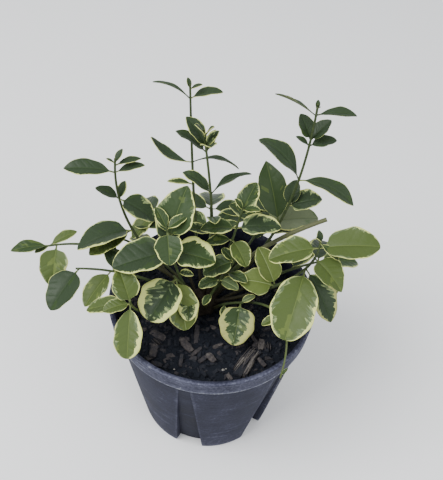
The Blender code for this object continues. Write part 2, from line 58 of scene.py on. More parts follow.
class Value:
    """A socket whose sums are written with Python's operators."""

    def __init__(self, nodes: "Nodes", socket: bpy.types.NodeSocket) -> None:
        """Keep the socket and the tree that it belongs to."""
        self.nodes = nodes
        self.socket = socket

    def _sum(self, operation: str, first: Any, second: Any) -> "Value":
        """Add one Math node to the tree and return its result."""
        node = self.nodes.add("ShaderNodeMath", {"operation": operation}, {0: first, 1: second})
        return Value(self.nodes, node.outputs[0])

    def __add__(self, other: Any) -> "Value":
        """Return this value plus another."""
        return self._sum("ADD", self, other)

    def __radd__(self, other: Any) -> "Value":
        """Return another value plus this one."""
        return self._sum("ADD", other, self)

    def __sub__(self, other: Any) -> "Value":
        """Return this value less another."""
        return self._sum("SUBTRACT", self, other)

    def __rsub__(self, other: Any) -> "Value":
        """Return another value less this one."""
        return self._sum("SUBTRACT", other, self)

    def __mul__(self, other: Any) -> "Value":
        """Return this value times another."""
        return self._sum("MULTIPLY", self, other)

    def __rmul__(self, other: Any) -> "Value":
        """Return another value times this one."""
        return self._sum("MULTIPLY", other, self)

    def __pow__(self, other: Any) -> "Value":
        """Return this value to a power."""
        return self._sum("POWER", self, other)

    def __gt__(self, other: Any) -> "Value":
        """Return 1 where this value is the greater, and 0 elsewhere."""
        return self._sum("GREATER_THAN", self, other)

    def __lt__(self, other: Any) -> "Value":
        """Return 1 where this value is the smaller, and 0 elsewhere."""
        return self._sum("LESS_THAN", self, other)

    def above(self, level: float) -> "Value":
        """Return how far this value rises above a level, and nothing where it lies below."""
        return self._sum("MAXIMUM", self - level, 0.0)


class Nodes:
    """A node tree that is filled by one method."""

    def __init__(self, tree: bpy.types.NodeTree) -> None:
        """Keep the tree."""
        self.tree = tree

    def add(self, kind: str, settings: dict | None = None, values: dict | None = None) -> bpy.types.Node:
        """Add a node.

        Args:
            kind: The node's type.
            settings: Properties that are set before its sockets.
            values: Values or links, by the socket's name or number.

        Returns:
            The new node.
        """
        node = self.tree.nodes.new(kind)
        for key, setting in (settings or {}).items():
            setattr(node, key, setting)
        for key, value in (values or {}).items():
            self.feed(node.inputs[key], value)
        return node

    def feed(self, target: bpy.types.NodeSocket, value: Any) -> None:
        """Link a value to a socket, or set it there.

        Args:
            target: The socket that takes the value.
            value: A value, another node's socket, or a plain setting.
        """
        if isinstance(value, Value):
            value = value.socket
        if isinstance(value, bpy.types.NodeSocket):
            self.tree.links.new(value, target)
        else:
            target.default_value = value

    def value(self, node: bpy.types.Node, output: int | str = 0) -> Value:
        """Return a node's output as a value."""
        return Value(self, node.outputs[output])

    def ramp(self, factor: Any, stops: tuple) -> bpy.types.NodeSocket:
        """Add a colour ramp.

        Args:
            factor: What runs along the ramp.
            stops: The place and the colour of each stop, in order.

        Returns:
            The ramp's colour.
        """
        node = self.add("ShaderNodeValToRGB", None, {0: factor})
        elements = node.color_ramp.elements
        while len(elements) > 1:
            elements.remove(elements[-1])
        elements[0].position = stops[0][0]
        elements[0].color = (*stops[0][1], 1.0)
        for place, colour in stops[1:]:
            elements.new(place).color = (*colour, 1.0)
        return node.outputs[0]

    def noise(self, where: Any, scale: float, detail: float = 3.0, rough: float = 0.55) -> Value:
        """Add a noise pattern and return its value, which swings about 0.5."""
        fed = {"Vector": where, "Scale": scale, "Detail": detail, "Roughness": rough}
        return self.value(self.add("ShaderNodeTexNoise", None, fed))

    def drawn_out(self, where: Any, scales: tuple, detail: float, rough: float) -> Value:
        """Add a noise pattern with a scale of its own along each axis, and return its value."""
        mapped = self.add("ShaderNodeMapping", None, {"Vector": where, "Scale": scales})
        return self.noise(mapped.outputs[0], 1.0, detail, rough)

    def carried(self, name: str) -> Value:
        """Return the number of this name that the corners of a piece carry."""
        return self.value(self.add("ShaderNodeAttribute", {"attribute_name": name}), "Fac")

    def named(self, name: str) -> Value:
        """Return the number of this name in a tree of Geometry Nodes."""
        return self.value(self.add("GeometryNodeInputNamedAttribute", {"data_type": "FLOAT"}, {"Name": name}))


@dataclass(frozen=True)
class Finish:
    """A finish: its name and the constants that its shader takes."""

    name: str
    colour: tuple = (0.5, 0.5, 0.5)
    roughness: float = 0.5
    specular: float = 0.5

    def material(self) -> bpy.types.Material:
        """Make the finish's material the first time, and find it again later.

        Returns:
            The material.
        """
        found = bpy.data.materials.get(self.name)
        if found:
            return found
        made = bpy.data.materials.new(self.name)
        made.use_nodes = True
        nodes = Nodes(made.node_tree)
        shader = made.node_tree.nodes["Principled BSDF"]
        shader.inputs["Base Color"].default_value = (*self.colour, 1.0)
        shader.inputs["Roughness"].default_value = self.roughness
        shader.inputs["Specular IOR Level"].default_value = self.specular
        where = nodes.add("ShaderNodeTexCoord").outputs["Object"]
        self.dress(nodes, shader, where)
        return made

    def dress(self, nodes: Nodes, shader: bpy.types.Node, where: bpy.types.NodeSocket) -> None:
        """Add the finish's pattern to its shader.

        Args:
            nodes: The material's tree.
            shader: The shader that the pattern feeds.
            where: The place on the piece.
        """
        raise NotImplementedError

    @staticmethod
    def bump(nodes: Nodes, shader: bpy.types.Node, height: Any, depth: float, strength: float = 1.0) -> None:
        """Feed a height to the shader's normal.

        Args:
            nodes: The material's tree.
            shader: The shader that takes the normal.
            height: The pattern's height.
            depth: How deep the pattern is, in metres.
            strength: How strongly it shows.
        """
        fed = {"Height": height, "Distance": depth, "Strength": strength}
        node = nodes.add("ShaderNodeBump", None, fed)
        nodes.feed(shader.inputs["Normal"], node.outputs[0])


@dataclass(frozen=True)
class LeafFinish(Finish):
    """A leaf's skin: one plain colour with a fine waxy grain."""

    dulling: float = 0.24
    grain_share: float = 0.4

    def dress(self, nodes: Nodes, shader: bpy.types.Node, where: bpy.types.NodeSocket) -> None:
        """Add patches of duller wax and a fine grain.

        Args:
            nodes: The material's tree.
            shader: The shader that the pattern feeds.
            where: The place on the leaf.
        """
        patches = nodes.noise(where, scale=160.0)
        dull = patches * self.dulling + (self.roughness - self.dulling / 2.0)
        nodes.feed(shader.inputs["Roughness"], dull)
        grain = nodes.noise(where, scale=900.0)
        cells = nodes.noise(where, scale=330.0, detail=2.0)
        self.bump(nodes, shader, grain * self.grain_share + cells, depth=0.00035, strength=0.55)


@dataclass(frozen=True)
class PotPlastic(Finish):
    """Dark moulded plastic, dusty on the rim, with scuffs along it."""

    stops: tuple = (
        (0.00, (0.0060, 0.0068, 0.0110)),
        (0.30, (0.0130, 0.0142, 0.0240)),
        (0.50, (0.0290, 0.0305, 0.0490)),
        (0.68, (0.0720, 0.0750, 0.1090)),
        (0.85, (0.1500, 0.1580, 0.1980)),
        (1.00, (0.3000, 0.3100, 0.3400)),
    )
    scuff_scales: tuple = (26.0, 26.0, 260.0)
    streak_scales: tuple = (240.0, 240.0, 18.0)
    clouds: float = 0.50
    specks: float = 0.95
    scuffs: float = 0.22
    streaks: float = 0.06
    scratch_from: float = 0.61
    scratches: float = 1.2
    dust_from: float = 0.66
    dust: float = 2.4
    gloss_change: float = 0.4

    def dress(self, nodes: Nodes, shader: bpy.types.Node, where: bpy.types.NodeSocket) -> None:
        """Colour the plastic by its tone, with clouds, specks and scuffs.

        Args:
            nodes: The material's tree.
            shader: The shader that the pattern feeds.
            where: The place on the pot.
        """
        # the tone carries dust and wear, and also the painted shade inside the pot, in the recesses and under
        # the band
        tone = nodes.carried("tone")
        cloud = nodes.noise(where, scale=38.0, detail=5.0, rough=0.62)
        speck = nodes.noise(where, scale=420.0, detail=3.0, rough=0.7)
        scuff = nodes.drawn_out(where, self.scuff_scales, detail=4.0, rough=0.6)
        streak = nodes.drawn_out(where, self.streak_scales, detail=3.0, rough=0.6)
        mottle = (cloud - 0.5) * self.clouds + (speck - 0.5) * tone * self.specks
        mottle = mottle + (scuff - 0.5) * self.scuffs + (streak - 0.5) * self.streaks
        mottle = mottle + scuff.above(self.scratch_from) * self.scratches
        mottle = mottle + speck.above(self.dust_from) * tone * self.dust
        nodes.feed(shader.inputs["Base Color"], nodes.ramp(tone + mottle, self.stops))
        nodes.feed(shader.inputs["Roughness"], mottle * self.gloss_change + self.roughness)
        self.bump(nodes, shader, speck * 0.5 + scuff + streak * 0.5, depth=0.0003, strength=0.5)


@dataclass(frozen=True)
class BarkChips(Finish):
    """Damp potting bark: dark crumbs with paler and redder chips."""

    stops: tuple = (
        (0.10, (0.0045, 0.0056, 0.0085)),
        (0.34, (0.0096, 0.0116, 0.0170)),
        (0.52, (0.0220, 0.0230, 0.0280)),
        (0.72, (0.0500, 0.0440, 0.0440)),
        (0.90, (0.1100, 0.0980, 0.0880)),
        (1.00, (0.3000, 0.2900, 0.2600)),
    )
    least: float = 0.12
    tones: float = 0.72
    grains: float = 0.55
    patches: float = 0.16
    gloss_change: float = 0.3

    def dress(self, nodes: Nodes, shader: bpy.types.Node, where: bpy.types.NodeSocket) -> None:
        """Colour each chip by its own tone, with grain along it.

        Args:
            nodes: The material's tree.
            shader: The shader that the pattern feeds.
            where: The place on the bark.
        """
        tone = nodes.carried("tone")
        grain = nodes.noise(where, scale=620.0, detail=5.0, rough=0.75)
        patch = nodes.noise(where, scale=120.0)
        mix = tone * self.tones + (grain - 0.5) * self.grains + patch * self.patches + self.least
        nodes.feed(shader.inputs["Base Color"], nodes.ramp(mix, self.stops))
        gloss = grain * self.gloss_change + (self.roughness - self.gloss_change / 2.0)
        nodes.feed(shader.inputs["Roughness"], gloss)
        self.bump(nodes, shader, grain, depth=0.0012, strength=0.8)


@dataclass(frozen=True)
class StemSkin(Finish):
    """The skin of a stem by its age, from fresh green over dark green to brown wood."""

    stops: tuple = (
        (0.00, (0.0950, 0.1020, 0.0480)),
        (0.12, (0.0700, 0.0950, 0.0260)),
        (0.36, (0.0260, 0.0400, 0.0150)),
        (0.60, (0.0360, 0.0370, 0.0150)),
        (1.00, (0.0190, 0.0145, 0.0100)),
    )
    grains: float = 0.3
    gloss_change: float = 0.3

    def dress(self, nodes: Nodes, shader: bpy.types.Node, where: bpy.types.NodeSocket) -> None:
        """Colour the skin by its age, with a grain.

        Args:
            nodes: The material's tree.
            shader: The shader that the pattern feeds.
            where: The place on the stem.
        """
        age = nodes.carried("age")
        grain = nodes.noise(where, scale=300.0, detail=4.0, rough=0.65)
        nodes.feed(shader.inputs["Base Color"], nodes.ramp(age + (grain - 0.5) * self.grains, self.stops))
        gloss = grain * self.gloss_change + (self.roughness - self.gloss_change / 2.0)
        nodes.feed(shader.inputs["Roughness"], gloss)
        self.bump(nodes, shader, grain, depth=0.0004, strength=0.7)


@dataclass(frozen=True)
class FloorPaint(Finish):
    """A plain pale floor."""

    gloss_change: float = 0.1

    def dress(self, nodes: Nodes, shader: bpy.types.Node, where: bpy.types.NodeSocket) -> None:
        """Vary the gloss a little.

        Args:
            nodes: The material's tree.
            shader: The shader that the pattern feeds.
            where: The place on the floor.
        """
        patches = nodes.noise(where, scale=8.0)
        nodes.feed(shader.inputs["Roughness"], patches * self.gloss_change + self.roughness)


class Zone(IntEnum):
    """The zones of a leaf, in the order of its material slots."""

    DARK = 0
    MID = 1
    BRIGHT = 2
    LIME = 3
    SAGE = 4
    GREY = 5
    PALE = 6
    # a darker copy of the cream edge: painted shade for edges that lie in shade
    CREAM_IN_SHADE = 7
    CREAM = 8
    STALK = 9
    UNDER = 10


LEAF_FINISHES = (
    LeafFinish("leaf_dark_green", (0.0228, 0.0392, 0.0165), 0.42, 0.18),
    LeafFinish("leaf_green", (0.0270, 0.0490, 0.0150), 0.42, 0.18),
    LeafFinish("leaf_bright_green", (0.0600, 0.0880, 0.0210), 0.44, 0.18),
    LeafFinish("leaf_lime", (0.0950, 0.1300, 0.0300), 0.46, 0.18),
    LeafFinish("leaf_sage", (0.1180, 0.1440, 0.0760), 0.48, 0.16),
    LeafFinish("leaf_grey_green", (0.0850, 0.1200, 0.0520), 0.46, 0.18),
    LeafFinish("leaf_pale_green", (0.2000, 0.2500, 0.1000), 0.48, 0.18),
    # the darker cream edge, painted shade for leaf edges in shade
    LeafFinish("leaf_cream_painted_shade", (0.3300, 0.3400, 0.1100), 0.50, 0.18),
    LeafFinish("leaf_cream", (0.5600, 0.6000, 0.1900), 0.50, 0.18),
    LeafFinish("leaf_stalk", (0.0850, 0.1100, 0.0350), 0.48, 0.18),
    LeafFinish("leaf_underside", (0.1080, 0.1290, 0.0610), 0.60, 0.16),
)
PALER = {Zone.DARK: Zone.MID, Zone.MID: Zone.BRIGHT, Zone.BRIGHT: Zone.LIME, Zone.SAGE: Zone.GREY}
POT_FINISH = PotPlastic("pot_plastic_scuffed", roughness=0.60, specular=0.04)
BARK_FINISH = BarkChips("potting_bark_damp", roughness=0.85, specular=0.12)
CROWN_FINISH = StemSkin("crown_wood", roughness=0.85, specular=0.15)
STEM_FINISH = StemSkin("stem_skin", roughness=0.55, specular=0.20)
FLOOR_FINISH = FloorPaint("floor_pale", (0.86, 0.86, 0.86), 0.80)


class Leaf(NamedTuple):
    """One leaf: its place along the stem, the direction of its chord, and sizes."""

    at: float
    heading: float
    rise: float
    length: float
    bank: float = 0.0
    droop: float = 30.0
    width: float = 0.6
    point: float = 1.0


class Shoot(NamedTuple):
    """One stem: its foot's heading, reach and drop on the crown, its knee, tip and leaves."""

    name: str
    foot: tuple
    knee: tuple
    tip: tuple
    leaves: tuple


# A stem's foot on the crown's side: its reach from the middle, and how far below the top it is
SIDE = 12.0
HIGH = 3.8
LOW = 8.6

SHOOTS = (
    Shoot("tall_left", (159, SIDE, HIGH), (-93, 40, 188), (-83, 32, 278), (
        Leaf(0.50, 205, -8, 51, -15, 45, 0.8), Leaf(0.50, 213, -22, 43, 0, 25),
        Leaf(0.73, 170, 20, 22), Leaf(0.73, 343, -23, 35, 0, 30, 0.8), Leaf(0.73, 70, 45, 16),
        Leaf(0.91, 187, 7, 41, 15, 30, 0.45), Leaf(0.91, 10, 15, 25, 0, 30, 0.45),
        Leaf(0.955, 25, 4, 22, 0, 30, 0.4), Leaf(0.97, 57, 41, 13, 0, 30, 0.5),
        Leaf(0.97, 170, 25, 8, 0, 30, 0.4))),
    Shoot("tall_back", (107, 7, 0), (-22, 52, 195), (-27, 52, 338), (
        Leaf(0.72, 168, 26, 42, -12, -80, 0.4), Leaf(0.72, 357, -3, 42, 25, 85, 0.26),
        Leaf(0.62, 180, 4, 22, 0, 30, 0.4), Leaf(0.955, 172, 19, 32, -25, 55, 0.32),
        Leaf(0.955, 10, 11, 26, 0, 50, 0.5), Leaf(0.985, 118, 55, 9, 0, 30, 0.5),
        Leaf(0.985, 15, 20, 10, 0, 30, 0.5))),
    Shoot("middle", (80, 2.6, 0), (4, 22, 195), (-15, 33, 312), (
        Leaf(0.72, 20, 24, 39, 20, 70, 0.35), Leaf(0.72, 158, 27, 30, 0, 60, 0.5),
        Leaf(0.50, 190, 20, 24), Leaf(0.50, 10, 25, 24), Leaf(0.60, 280, 30, 22),
        Leaf(0.91, 162, 26, 29, -15, 30, 0.6), Leaf(0.91, 62, 48, 19, 0, 30, 0.5),
        Leaf(0.93, 143, 42, 28), Leaf(0.93, 285, 40, 24), Leaf(0.93, 30, 50, 17),
        Leaf(0.97, 200, 60, 16), Leaf(0.97, 340, 60, 15))),
    Shoot("tall_right", (36, SIDE, LOW), (70, 54, 180), (68, 43, 335), (
        Leaf(0.50, 113, 46, 56, 20, 20, 0.55, 1.2), Leaf(0.60, 3, 18, 29, 0, 20, 1.0),
        Leaf(0.60, 70, 48, 23, 0, 20, 0.7), Leaf(0.72, 149, 29, 50, 0, 75, 0.45),
        Leaf(0.72, 339, -9, 52, 0, 70, 0.4), Leaf(0.88, 128, 45, 22, 0, 20, 0.75),
        Leaf(0.88, 30, 41, 22, 0, 20, 0.75), Leaf(0.86, 150, 17, 13, 0, 30, 0.5),
        Leaf(0.86, 7, 14, 22, -10), Leaf(0.965, 160, 15, 35, -35, 30, 0.4),
        Leaf(0.965, 356, 7, 31, 0, 45, 0.42), Leaf(0.985, 96, 60, 7), Leaf(0.985, 270, 50, 7))),
    Shoot("broad", (225, 6.5, 0), (-30, -14, 180), (-39, -5, 243), (
        Leaf(0.90, 69, 43, 46, 0, 30, 0.8, 1.15), Leaf(0.80, 201, -7, 49, 0, 15, 0.85),
        Leaf(0.97, 281, -39, 27, 0, 20, 0.95), Leaf(0.80, 350, -4, 37, 0, 20, 1.05),
        Leaf(0.80, 105, 44, 42), Leaf(0.985, 130, 36, 20), Leaf(0.985, 30, 24, 20),
        Leaf(0.55, 15, -20, 14, 0, 30, 0.7))),
    Shoot("right", (346, SIDE, HIGH), (84, -20, 205), (83, 0, 234), (
        Leaf(0.37, 175, 2, 33, 30, 30, 0.8, 1.25), Leaf(0.37, 125, 36, 36, 0, 30, 0.7),
        Leaf(0.66, 255, -26, 62, 0, 30, 0.68, 0.7), Leaf(0.66, 312, -42, 50, 0, 30, 0.62, 1.1),
        Leaf(0.80, 315, -22, 35, 0, 40, 0.85, 1.3), Leaf(0.93, 189, -16, 42, 0, 30, 0.75),
        Leaf(0.93, 357, 11, 48, -8, 20, 0.75, 0.8), Leaf(0.985, 325, -20, 20, 0, 30, 0.5),
        Leaf(0.985, 110, 55, 11), Leaf(0.985, 200, 60, 10))),
    Shoot("front_left", (250, SIDE, HIGH), (-14, -12, 168), (-33, -9, 190), (
        Leaf(0.95, 240, -25, 42, 0, 20, 1.0, 0.7), Leaf(0.95, 293, -50, 46, 0, 10, 0.7, 0.9),
        Leaf(0.60, 275, -17, 27, 0, 20, 0.75, 0.8))),
    Shoot("left_front", (206, SIDE, LOW), (-66, -30, 152), (-64, -46, 200), (
        Leaf(0.93, 120, 38, 30, 0, 30, 0.85), Leaf(0.93, 202, -5, 23, 0, 30, 0.7),
        Leaf(0.93, 272, -34, 44, 0, 20, 0.6, 0.7), Leaf(0.90, 178, -20, 40, 0, 30, 0.5))),
    Shoot("far_left", (176, 7.5, 0), (-80, 16, 212), (-148, 21, 181), (
        Leaf(0.97, 200, 4, 33, 0, 30, 0.5), Leaf(0.97, 32, 13, 27, 0, 30, 0.5),
        Leaf(0.92, 269, -38, 37, 0, 30, 0.78, 1.1), Leaf(0.97, 214, -8, 14))),
    Shoot("left", (190, SIDE, HIGH), (-66, 0, 186), (-118, 2, 177), (
        Leaf(0.97, 238, -26, 43, 0, 30, 0.75), Leaf(0.70, 238, -21, 38),
        Leaf(0.68, 100, 25, 28, 0, 30, 0.5))),
    Shoot("front", (322, SIDE, LOW), (10, -8, 158), (27, -14, 167), (
        Leaf(0.93, 263, -32, 37, 0, 30, 0.95, 0.9), Leaf(0.93, 20, 22, 14), Leaf(0.45, 269, -36, 13))),
    Shoot("inner", (20, 7, 0), (8, 14, 180), (20, 18, 248), (
        Leaf(0.92, 60, 43, 32, 0, 30, 0.65), Leaf(0.83, 191, 1, 30, 0, 30, 0.68),
        Leaf(0.83, 0, 6, 37, 0, 30, 0.75), Leaf(0.985, 340, 20, 16), Leaf(0.72, 190, -8, 23),
        Leaf(0.72, 309, -33, 26, 0, 30, 0.8), Leaf(0.985, 160, 50, 12))),
    Shoot("behind_inner", (64, SIDE, HIGH), (25, 35, 170), (40, 52, 200), (
        Leaf(0.95, 11, 4, 52, 0, 30, 0.72), Leaf(0.95, 160, 20, 34), Leaf(0.7, 60, 10, 40))),
    Shoot("heart_low", (282, SIDE, HIGH), (-5, -14, 164), (7, -6, 191), (
        Leaf(0.93, 200, -14, 19, 0, 30, 0.8), Leaf(0.93, 340, -14, 18, 0, 30, 0.8),
        Leaf(0.6, 240, -10, 13))),
    Shoot("heart_high", (300, 6, 0), (8, 0, 175), (17, 2, 205), (
        Leaf(0.94, 204, -16, 28, 0, 30, 0.85), Leaf(0.94, 140, 20, 15, 0, 20, 0.7),
        Leaf(0.7, 330, 10, 22))),
    Shoot("runner", (340, SIDE, LOW), (78, -18, 202), (60, -75, 150), (
        Leaf(0.55, 200, -20, 17), Leaf(0.985, 40, 35, 8, 0, 30, 0.4))),
    Shoot("back_left", (128, SIDE, LOW), (-40, 50, 185), (-58, 74, 184), (
        Leaf(0.95, 125, -28, 44), Leaf(0.95, 224, -32, 34), Leaf(0.95, 40, -14, 42),
        Leaf(0.65, 160, -16, 38), Leaf(0.65, 60, 4, 38))),
    Shoot("back_middle", (88, SIDE, LOW), (-4, 52, 185), (-8, 84, 182), (
        Leaf(0.95, 90, -26, 48), Leaf(0.95, 170, 10, 38), Leaf(0.95, 10, -12, 40),
        Leaf(0.65, 140, 2, 40), Leaf(0.65, 30, 2, 42))),
    Shoot("back_right", (50, SIDE, LOW), (36, 56, 180), (50, 84, 182), (
        Leaf(0.95, 60, -22, 48), Leaf(0.95, 150, -10, 40), Leaf(0.95, 345, -6, 36),
        Leaf(0.65, 78, 2, 42), Leaf(0.65, 20, -8, 40))),
    Shoot("side_right", (4, SIDE, LOW), (60, 20, 176), (94, 30, 178), (
        Leaf(0.95, 20, -18, 44), Leaf(0.95, 80, -18, 42), Leaf(0.95, 300, -14, 34),
        Leaf(0.65, 60, -6, 38))),
    Shoot("side_left", (146, SIDE, LOW), (-50, 36, 170), (-92, 44, 176), (
        Leaf(0.95, 150, -28, 40), Leaf(0.65, 110, -25, 36))),
)
CANE = Shoot("cut_stem", (22, SIDE, HIGH), (19, 25, 190), (91, 34, 226), ())
# Ages of the stems that the light reaches, from 0, fresh green, to 1, brown wood
STEM_AGES = {"runner": 0.10, "left_front": 0.16, "front_left": 0.24, "cut_stem": 0.0}


class Tint(NamedTuple):
    """A leaf's colours: its green, and the widths of its edge and of the band inside it.

    The widths are shares of the half leaf, left and right of the midrib as the
    leaf is seen from its stalk, and the streaks are a share of its green.
    """

    green: Zone
    left: float = 0.08
    right: float = 0.08
    band: float = 0.10
    streaks: float = 0.0
    edge: Zone = Zone.CREAM


PLAIN = Tint(Zone.DARK, 0.02, 0.02, 0.0)
THIN = Tint(Zone.DARK, 0.06, 0.06, 0.04)
# edges given the darker cream zone carry painted shade
TINTS = {
    "tall_left": (
        Tint(Zone.DARK, 0.26, 0.03, 0.03), Tint(Zone.BRIGHT, 0.09, 0.03, 0.03), PLAIN,
        Tint(Zone.DARK, 0.10, 0.08, 0.12), Tint(Zone.DARK, 0.12, 0.20, 0.10),
        Tint(Zone.DARK, 0.07, 0.02, 0.02), THIN, THIN, THIN, THIN),
    "tall_back": (
        Tint(Zone.DARK, 0.16, 0.03, 0.04), PLAIN, Tint(Zone.MID, 0.35, 0.30, 0.10),
        PLAIN, THIN, THIN, THIN),
    "middle": (
        PLAIN, Tint(Zone.DARK, 0.10, 0.06, 0.06), Tint(Zone.MID, 0.14, 0.10, 0.12),
        Tint(Zone.MID, 0.10, 0.16, 0.10), Tint(Zone.MID, 0.12, 0.12, 0.10), PLAIN,
        Tint(Zone.DARK, 0.18, 0.18, 0.15, 0.2), Tint(Zone.DARK, 0.08, 0.08, 0.04),
        Tint(Zone.DARK, 0.10, 0.10, 0.06), Tint(Zone.DARK, 0.16, 0.16, 0.15, 0.2), THIN, THIN),
    "tall_right": (
        Tint(Zone.MID, 0.02, 0.02, 0.0), Tint(Zone.DARK, 0.14, 0.08, 0.16), PLAIN,
        Tint(Zone.DARK, 0.02, 0.04, 0.04), Tint(Zone.DARK, 0.03, 0.06, 0.0),
        PLAIN, PLAIN, PLAIN, PLAIN, PLAIN, PLAIN, PLAIN, PLAIN),
    "broad": (
        Tint(Zone.MID, 0.07, 0.09, 0.08), Tint(Zone.DARK, 0.13, 0.05, 0.05),
        Tint(Zone.MID, 0.11, 0.11, 0.02), Tint(Zone.MID, 0.34, 0.14, 0.10),
        Tint(Zone.DARK, 0.12, 0.26, 0.14), Tint(Zone.MID, 0.12, 0.10, 0.02),
        Tint(Zone.MID, 0.12, 0.12, 0.06), Tint(Zone.DARK, 0.36, 0.36, 0.20, 0.2)),
    "right": (
        Tint(Zone.LIME, 0.05, 0.05, 0.05), Tint(Zone.LIME, 0.05, 0.05, 0.05),
        Tint(Zone.BRIGHT, 0.15, 0.09, 0.14), Tint(Zone.DARK, 0.24, 0.24, 0.12, 0.0, Zone.CREAM_IN_SHADE),
        Tint(Zone.BRIGHT, 0.05, 0.03, 0.03), Tint(Zone.BRIGHT, 0.10, 0.09, 0.12),
        Tint(Zone.BRIGHT, 0.07, 0.05, 0.07), Tint(Zone.MID, 0.14, 0.14, 0.05), THIN, THIN),
    "front_left": (
        Tint(Zone.DARK, 0.30, 0.34, 0.14, 0.12), Tint(Zone.LIME, 0.07, 0.07, 0.12),
        Tint(Zone.MID, 0.34, 0.34, 0.20, 0.2)),
    "left_front": (
        Tint(Zone.BRIGHT, 0.07, 0.07, 0.12), Tint(Zone.BRIGHT, 0.08, 0.05, 0.12),
        Tint(Zone.BRIGHT, 0.34, 0.05, 0.10), Tint(Zone.BRIGHT, 0.12, 0.04, 0.12)),
    "far_left": (
        Tint(Zone.MID, 0.05, 0.03, 0.03), Tint(Zone.BRIGHT, 0.06, 0.06, 0.05),
        Tint(Zone.BRIGHT, 0.16, 0.05, 0.10, 0.0, Zone.CREAM_IN_SHADE), Tint(Zone.MID, 0.10, 0.10, 0.05)),
    "left": (PLAIN, Tint(Zone.BRIGHT, 0.10, 0.06, 0.12), THIN),
    "front": (
        Tint(Zone.MID, 0.46, 0.44, 0.14, 0.10, Zone.CREAM_IN_SHADE), Tint(Zone.GREY, 0.20, 0.20, 0.20),
        Tint(Zone.MID, 0.25, 0.25, 0.20)),
    "inner": (
        Tint(Zone.MID, 0.10, 0.16, 0.20), Tint(Zone.MID, 0.16, 0.08, 0.10),
        Tint(Zone.DARK, 0.20, 0.12, 0.20), Tint(Zone.MID, 0.16, 0.16, 0.08),
        Tint(Zone.MID, 0.08, 0.08, 0.10), Tint(Zone.BRIGHT, 0.12, 0.08, 0.05),
        Tint(Zone.MID, 0.14, 0.14, 0.10)),
    "behind_inner": (Tint(Zone.SAGE, 0.03, 0.12, 0.04, 0.0, Zone.CREAM_IN_SHADE), Tint(Zone.MID), PLAIN),
    "heart_low": (Tint(Zone.MID, 0.10, 0.10, 0.20), Tint(Zone.GREY, 0.12, 0.12, 0.10), Tint(Zone.MID)),
    "heart_high": (Tint(Zone.MID, 0.10, 0.04, 0.22), Tint(Zone.MID, 0.12, 0.12, 0.10), Tint(Zone.MID)),
    "runner": (Tint(Zone.BRIGHT, 0.16, 0.10, 0.10), Tint(Zone.MID, 0.05, 0.05, 0.0)),
}


# Strips of a leaf on each side of its midrib: the rib, then the green, two of the band, two of the edge
GREEN_STRIPS = 4
BAND_STRIP = GREEN_STRIPS + 1
EDGE_STRIP = BAND_STRIP + 2


class Wave(NamedTuple):
    """A wave of the noise along a leaf: its pace, and how far apart sides and strips lie in it."""

    pace: float
    sides: float
    layer: float
    strips: float = 0.0

    def at(self, seed: Vector, run: float, side: float, strip: int = 0) -> float:
        """Return the wave's height at a place of a leaf.

        Args:
            seed: The leaf's own place in the noise.
            run: How far along the leaf the place lies, in millimetres.
            side: -1 left of the midrib, 1 right of it.
            strip: The strip that the place lies in, counted from the midrib.

        Returns:
            A number between -1 and 1.
        """
        place = (run * self.pace, side * self.sides + strip * self.strips, self.layer)
        return noise.noise(seed + Vector(place))


LOBE = Wave(0.22, 9.0, 0.0)
TOOTH = Wave(0.70, 21.0, 5.0)
DRIFT = Wave(0.13, 33.0, 9.0)
STREAK = Wave(0.30, 4.0, 11.0, 0.6)
PATCH = Wave(0.10, 7.0, 17.0, 0.35)


def around(out: float, turn: float, height: float) -> Vector:
    """Return the point at a distance and a turn round an upright axis, at a height."""
    return Vector((out * math.cos(turn), out * math.sin(turn), height))


def finished(piece: bpy.types.Object, nodes: list[str]) -> None:
    """Let a piece ride on the pot and stand for its solids.

    Args:
        piece: The piece.
        nodes: The solids that it stands for.
    """
    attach(piece, "root")
    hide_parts(*nodes)
    LOG.info("%s: %d faces", piece.name, len(piece.data.polygons))


def new_piece(
    name: str, corners: list, faces: list, finishes: list[Finish], slots: list[int] | None = None
) -> bpy.types.Object:
    """Make a smooth mesh piece at the origin.

    Args:
        name: The piece's name.
        corners: The place of each corner.
        faces: The corners of each face.
        finishes: The piece's finishes.
        slots: The finish of each face, by its number, where there are several.

    Returns:
        The piece.
    """
    mesh = bpy.data.meshes.new(name)
    mesh.from_pydata(corners, [], faces)
    for finish in finishes:
        mesh.materials.append(finish.material())
    mesh.polygons.foreach_set("use_smooth", [True] * len(faces))
    if slots:
        mesh.polygons.foreach_set("material_index", slots)
    mesh.update()
    return linked(name, mesh)


def linked(name: str, mesh: bpy.types.Mesh) -> bpy.types.Object:
    """Put a mesh into the scene as an object.

    Args:
        name: The object's name.
        mesh: The mesh, with its place in it.

    Returns:
        The object, at the origin.
    """
    piece = bpy.data.objects.new(name, mesh)
    bpy.context.scene.collection.objects.link(piece)
    return piece


def store(mesh: bpy.types.Mesh, name: str, numbers: list[float]) -> None:
    """Give each corner of a mesh a number that its finish reads."""
    mesh.attributes.new(name, "FLOAT", "POINT").data.foreach_set("value", numbers)


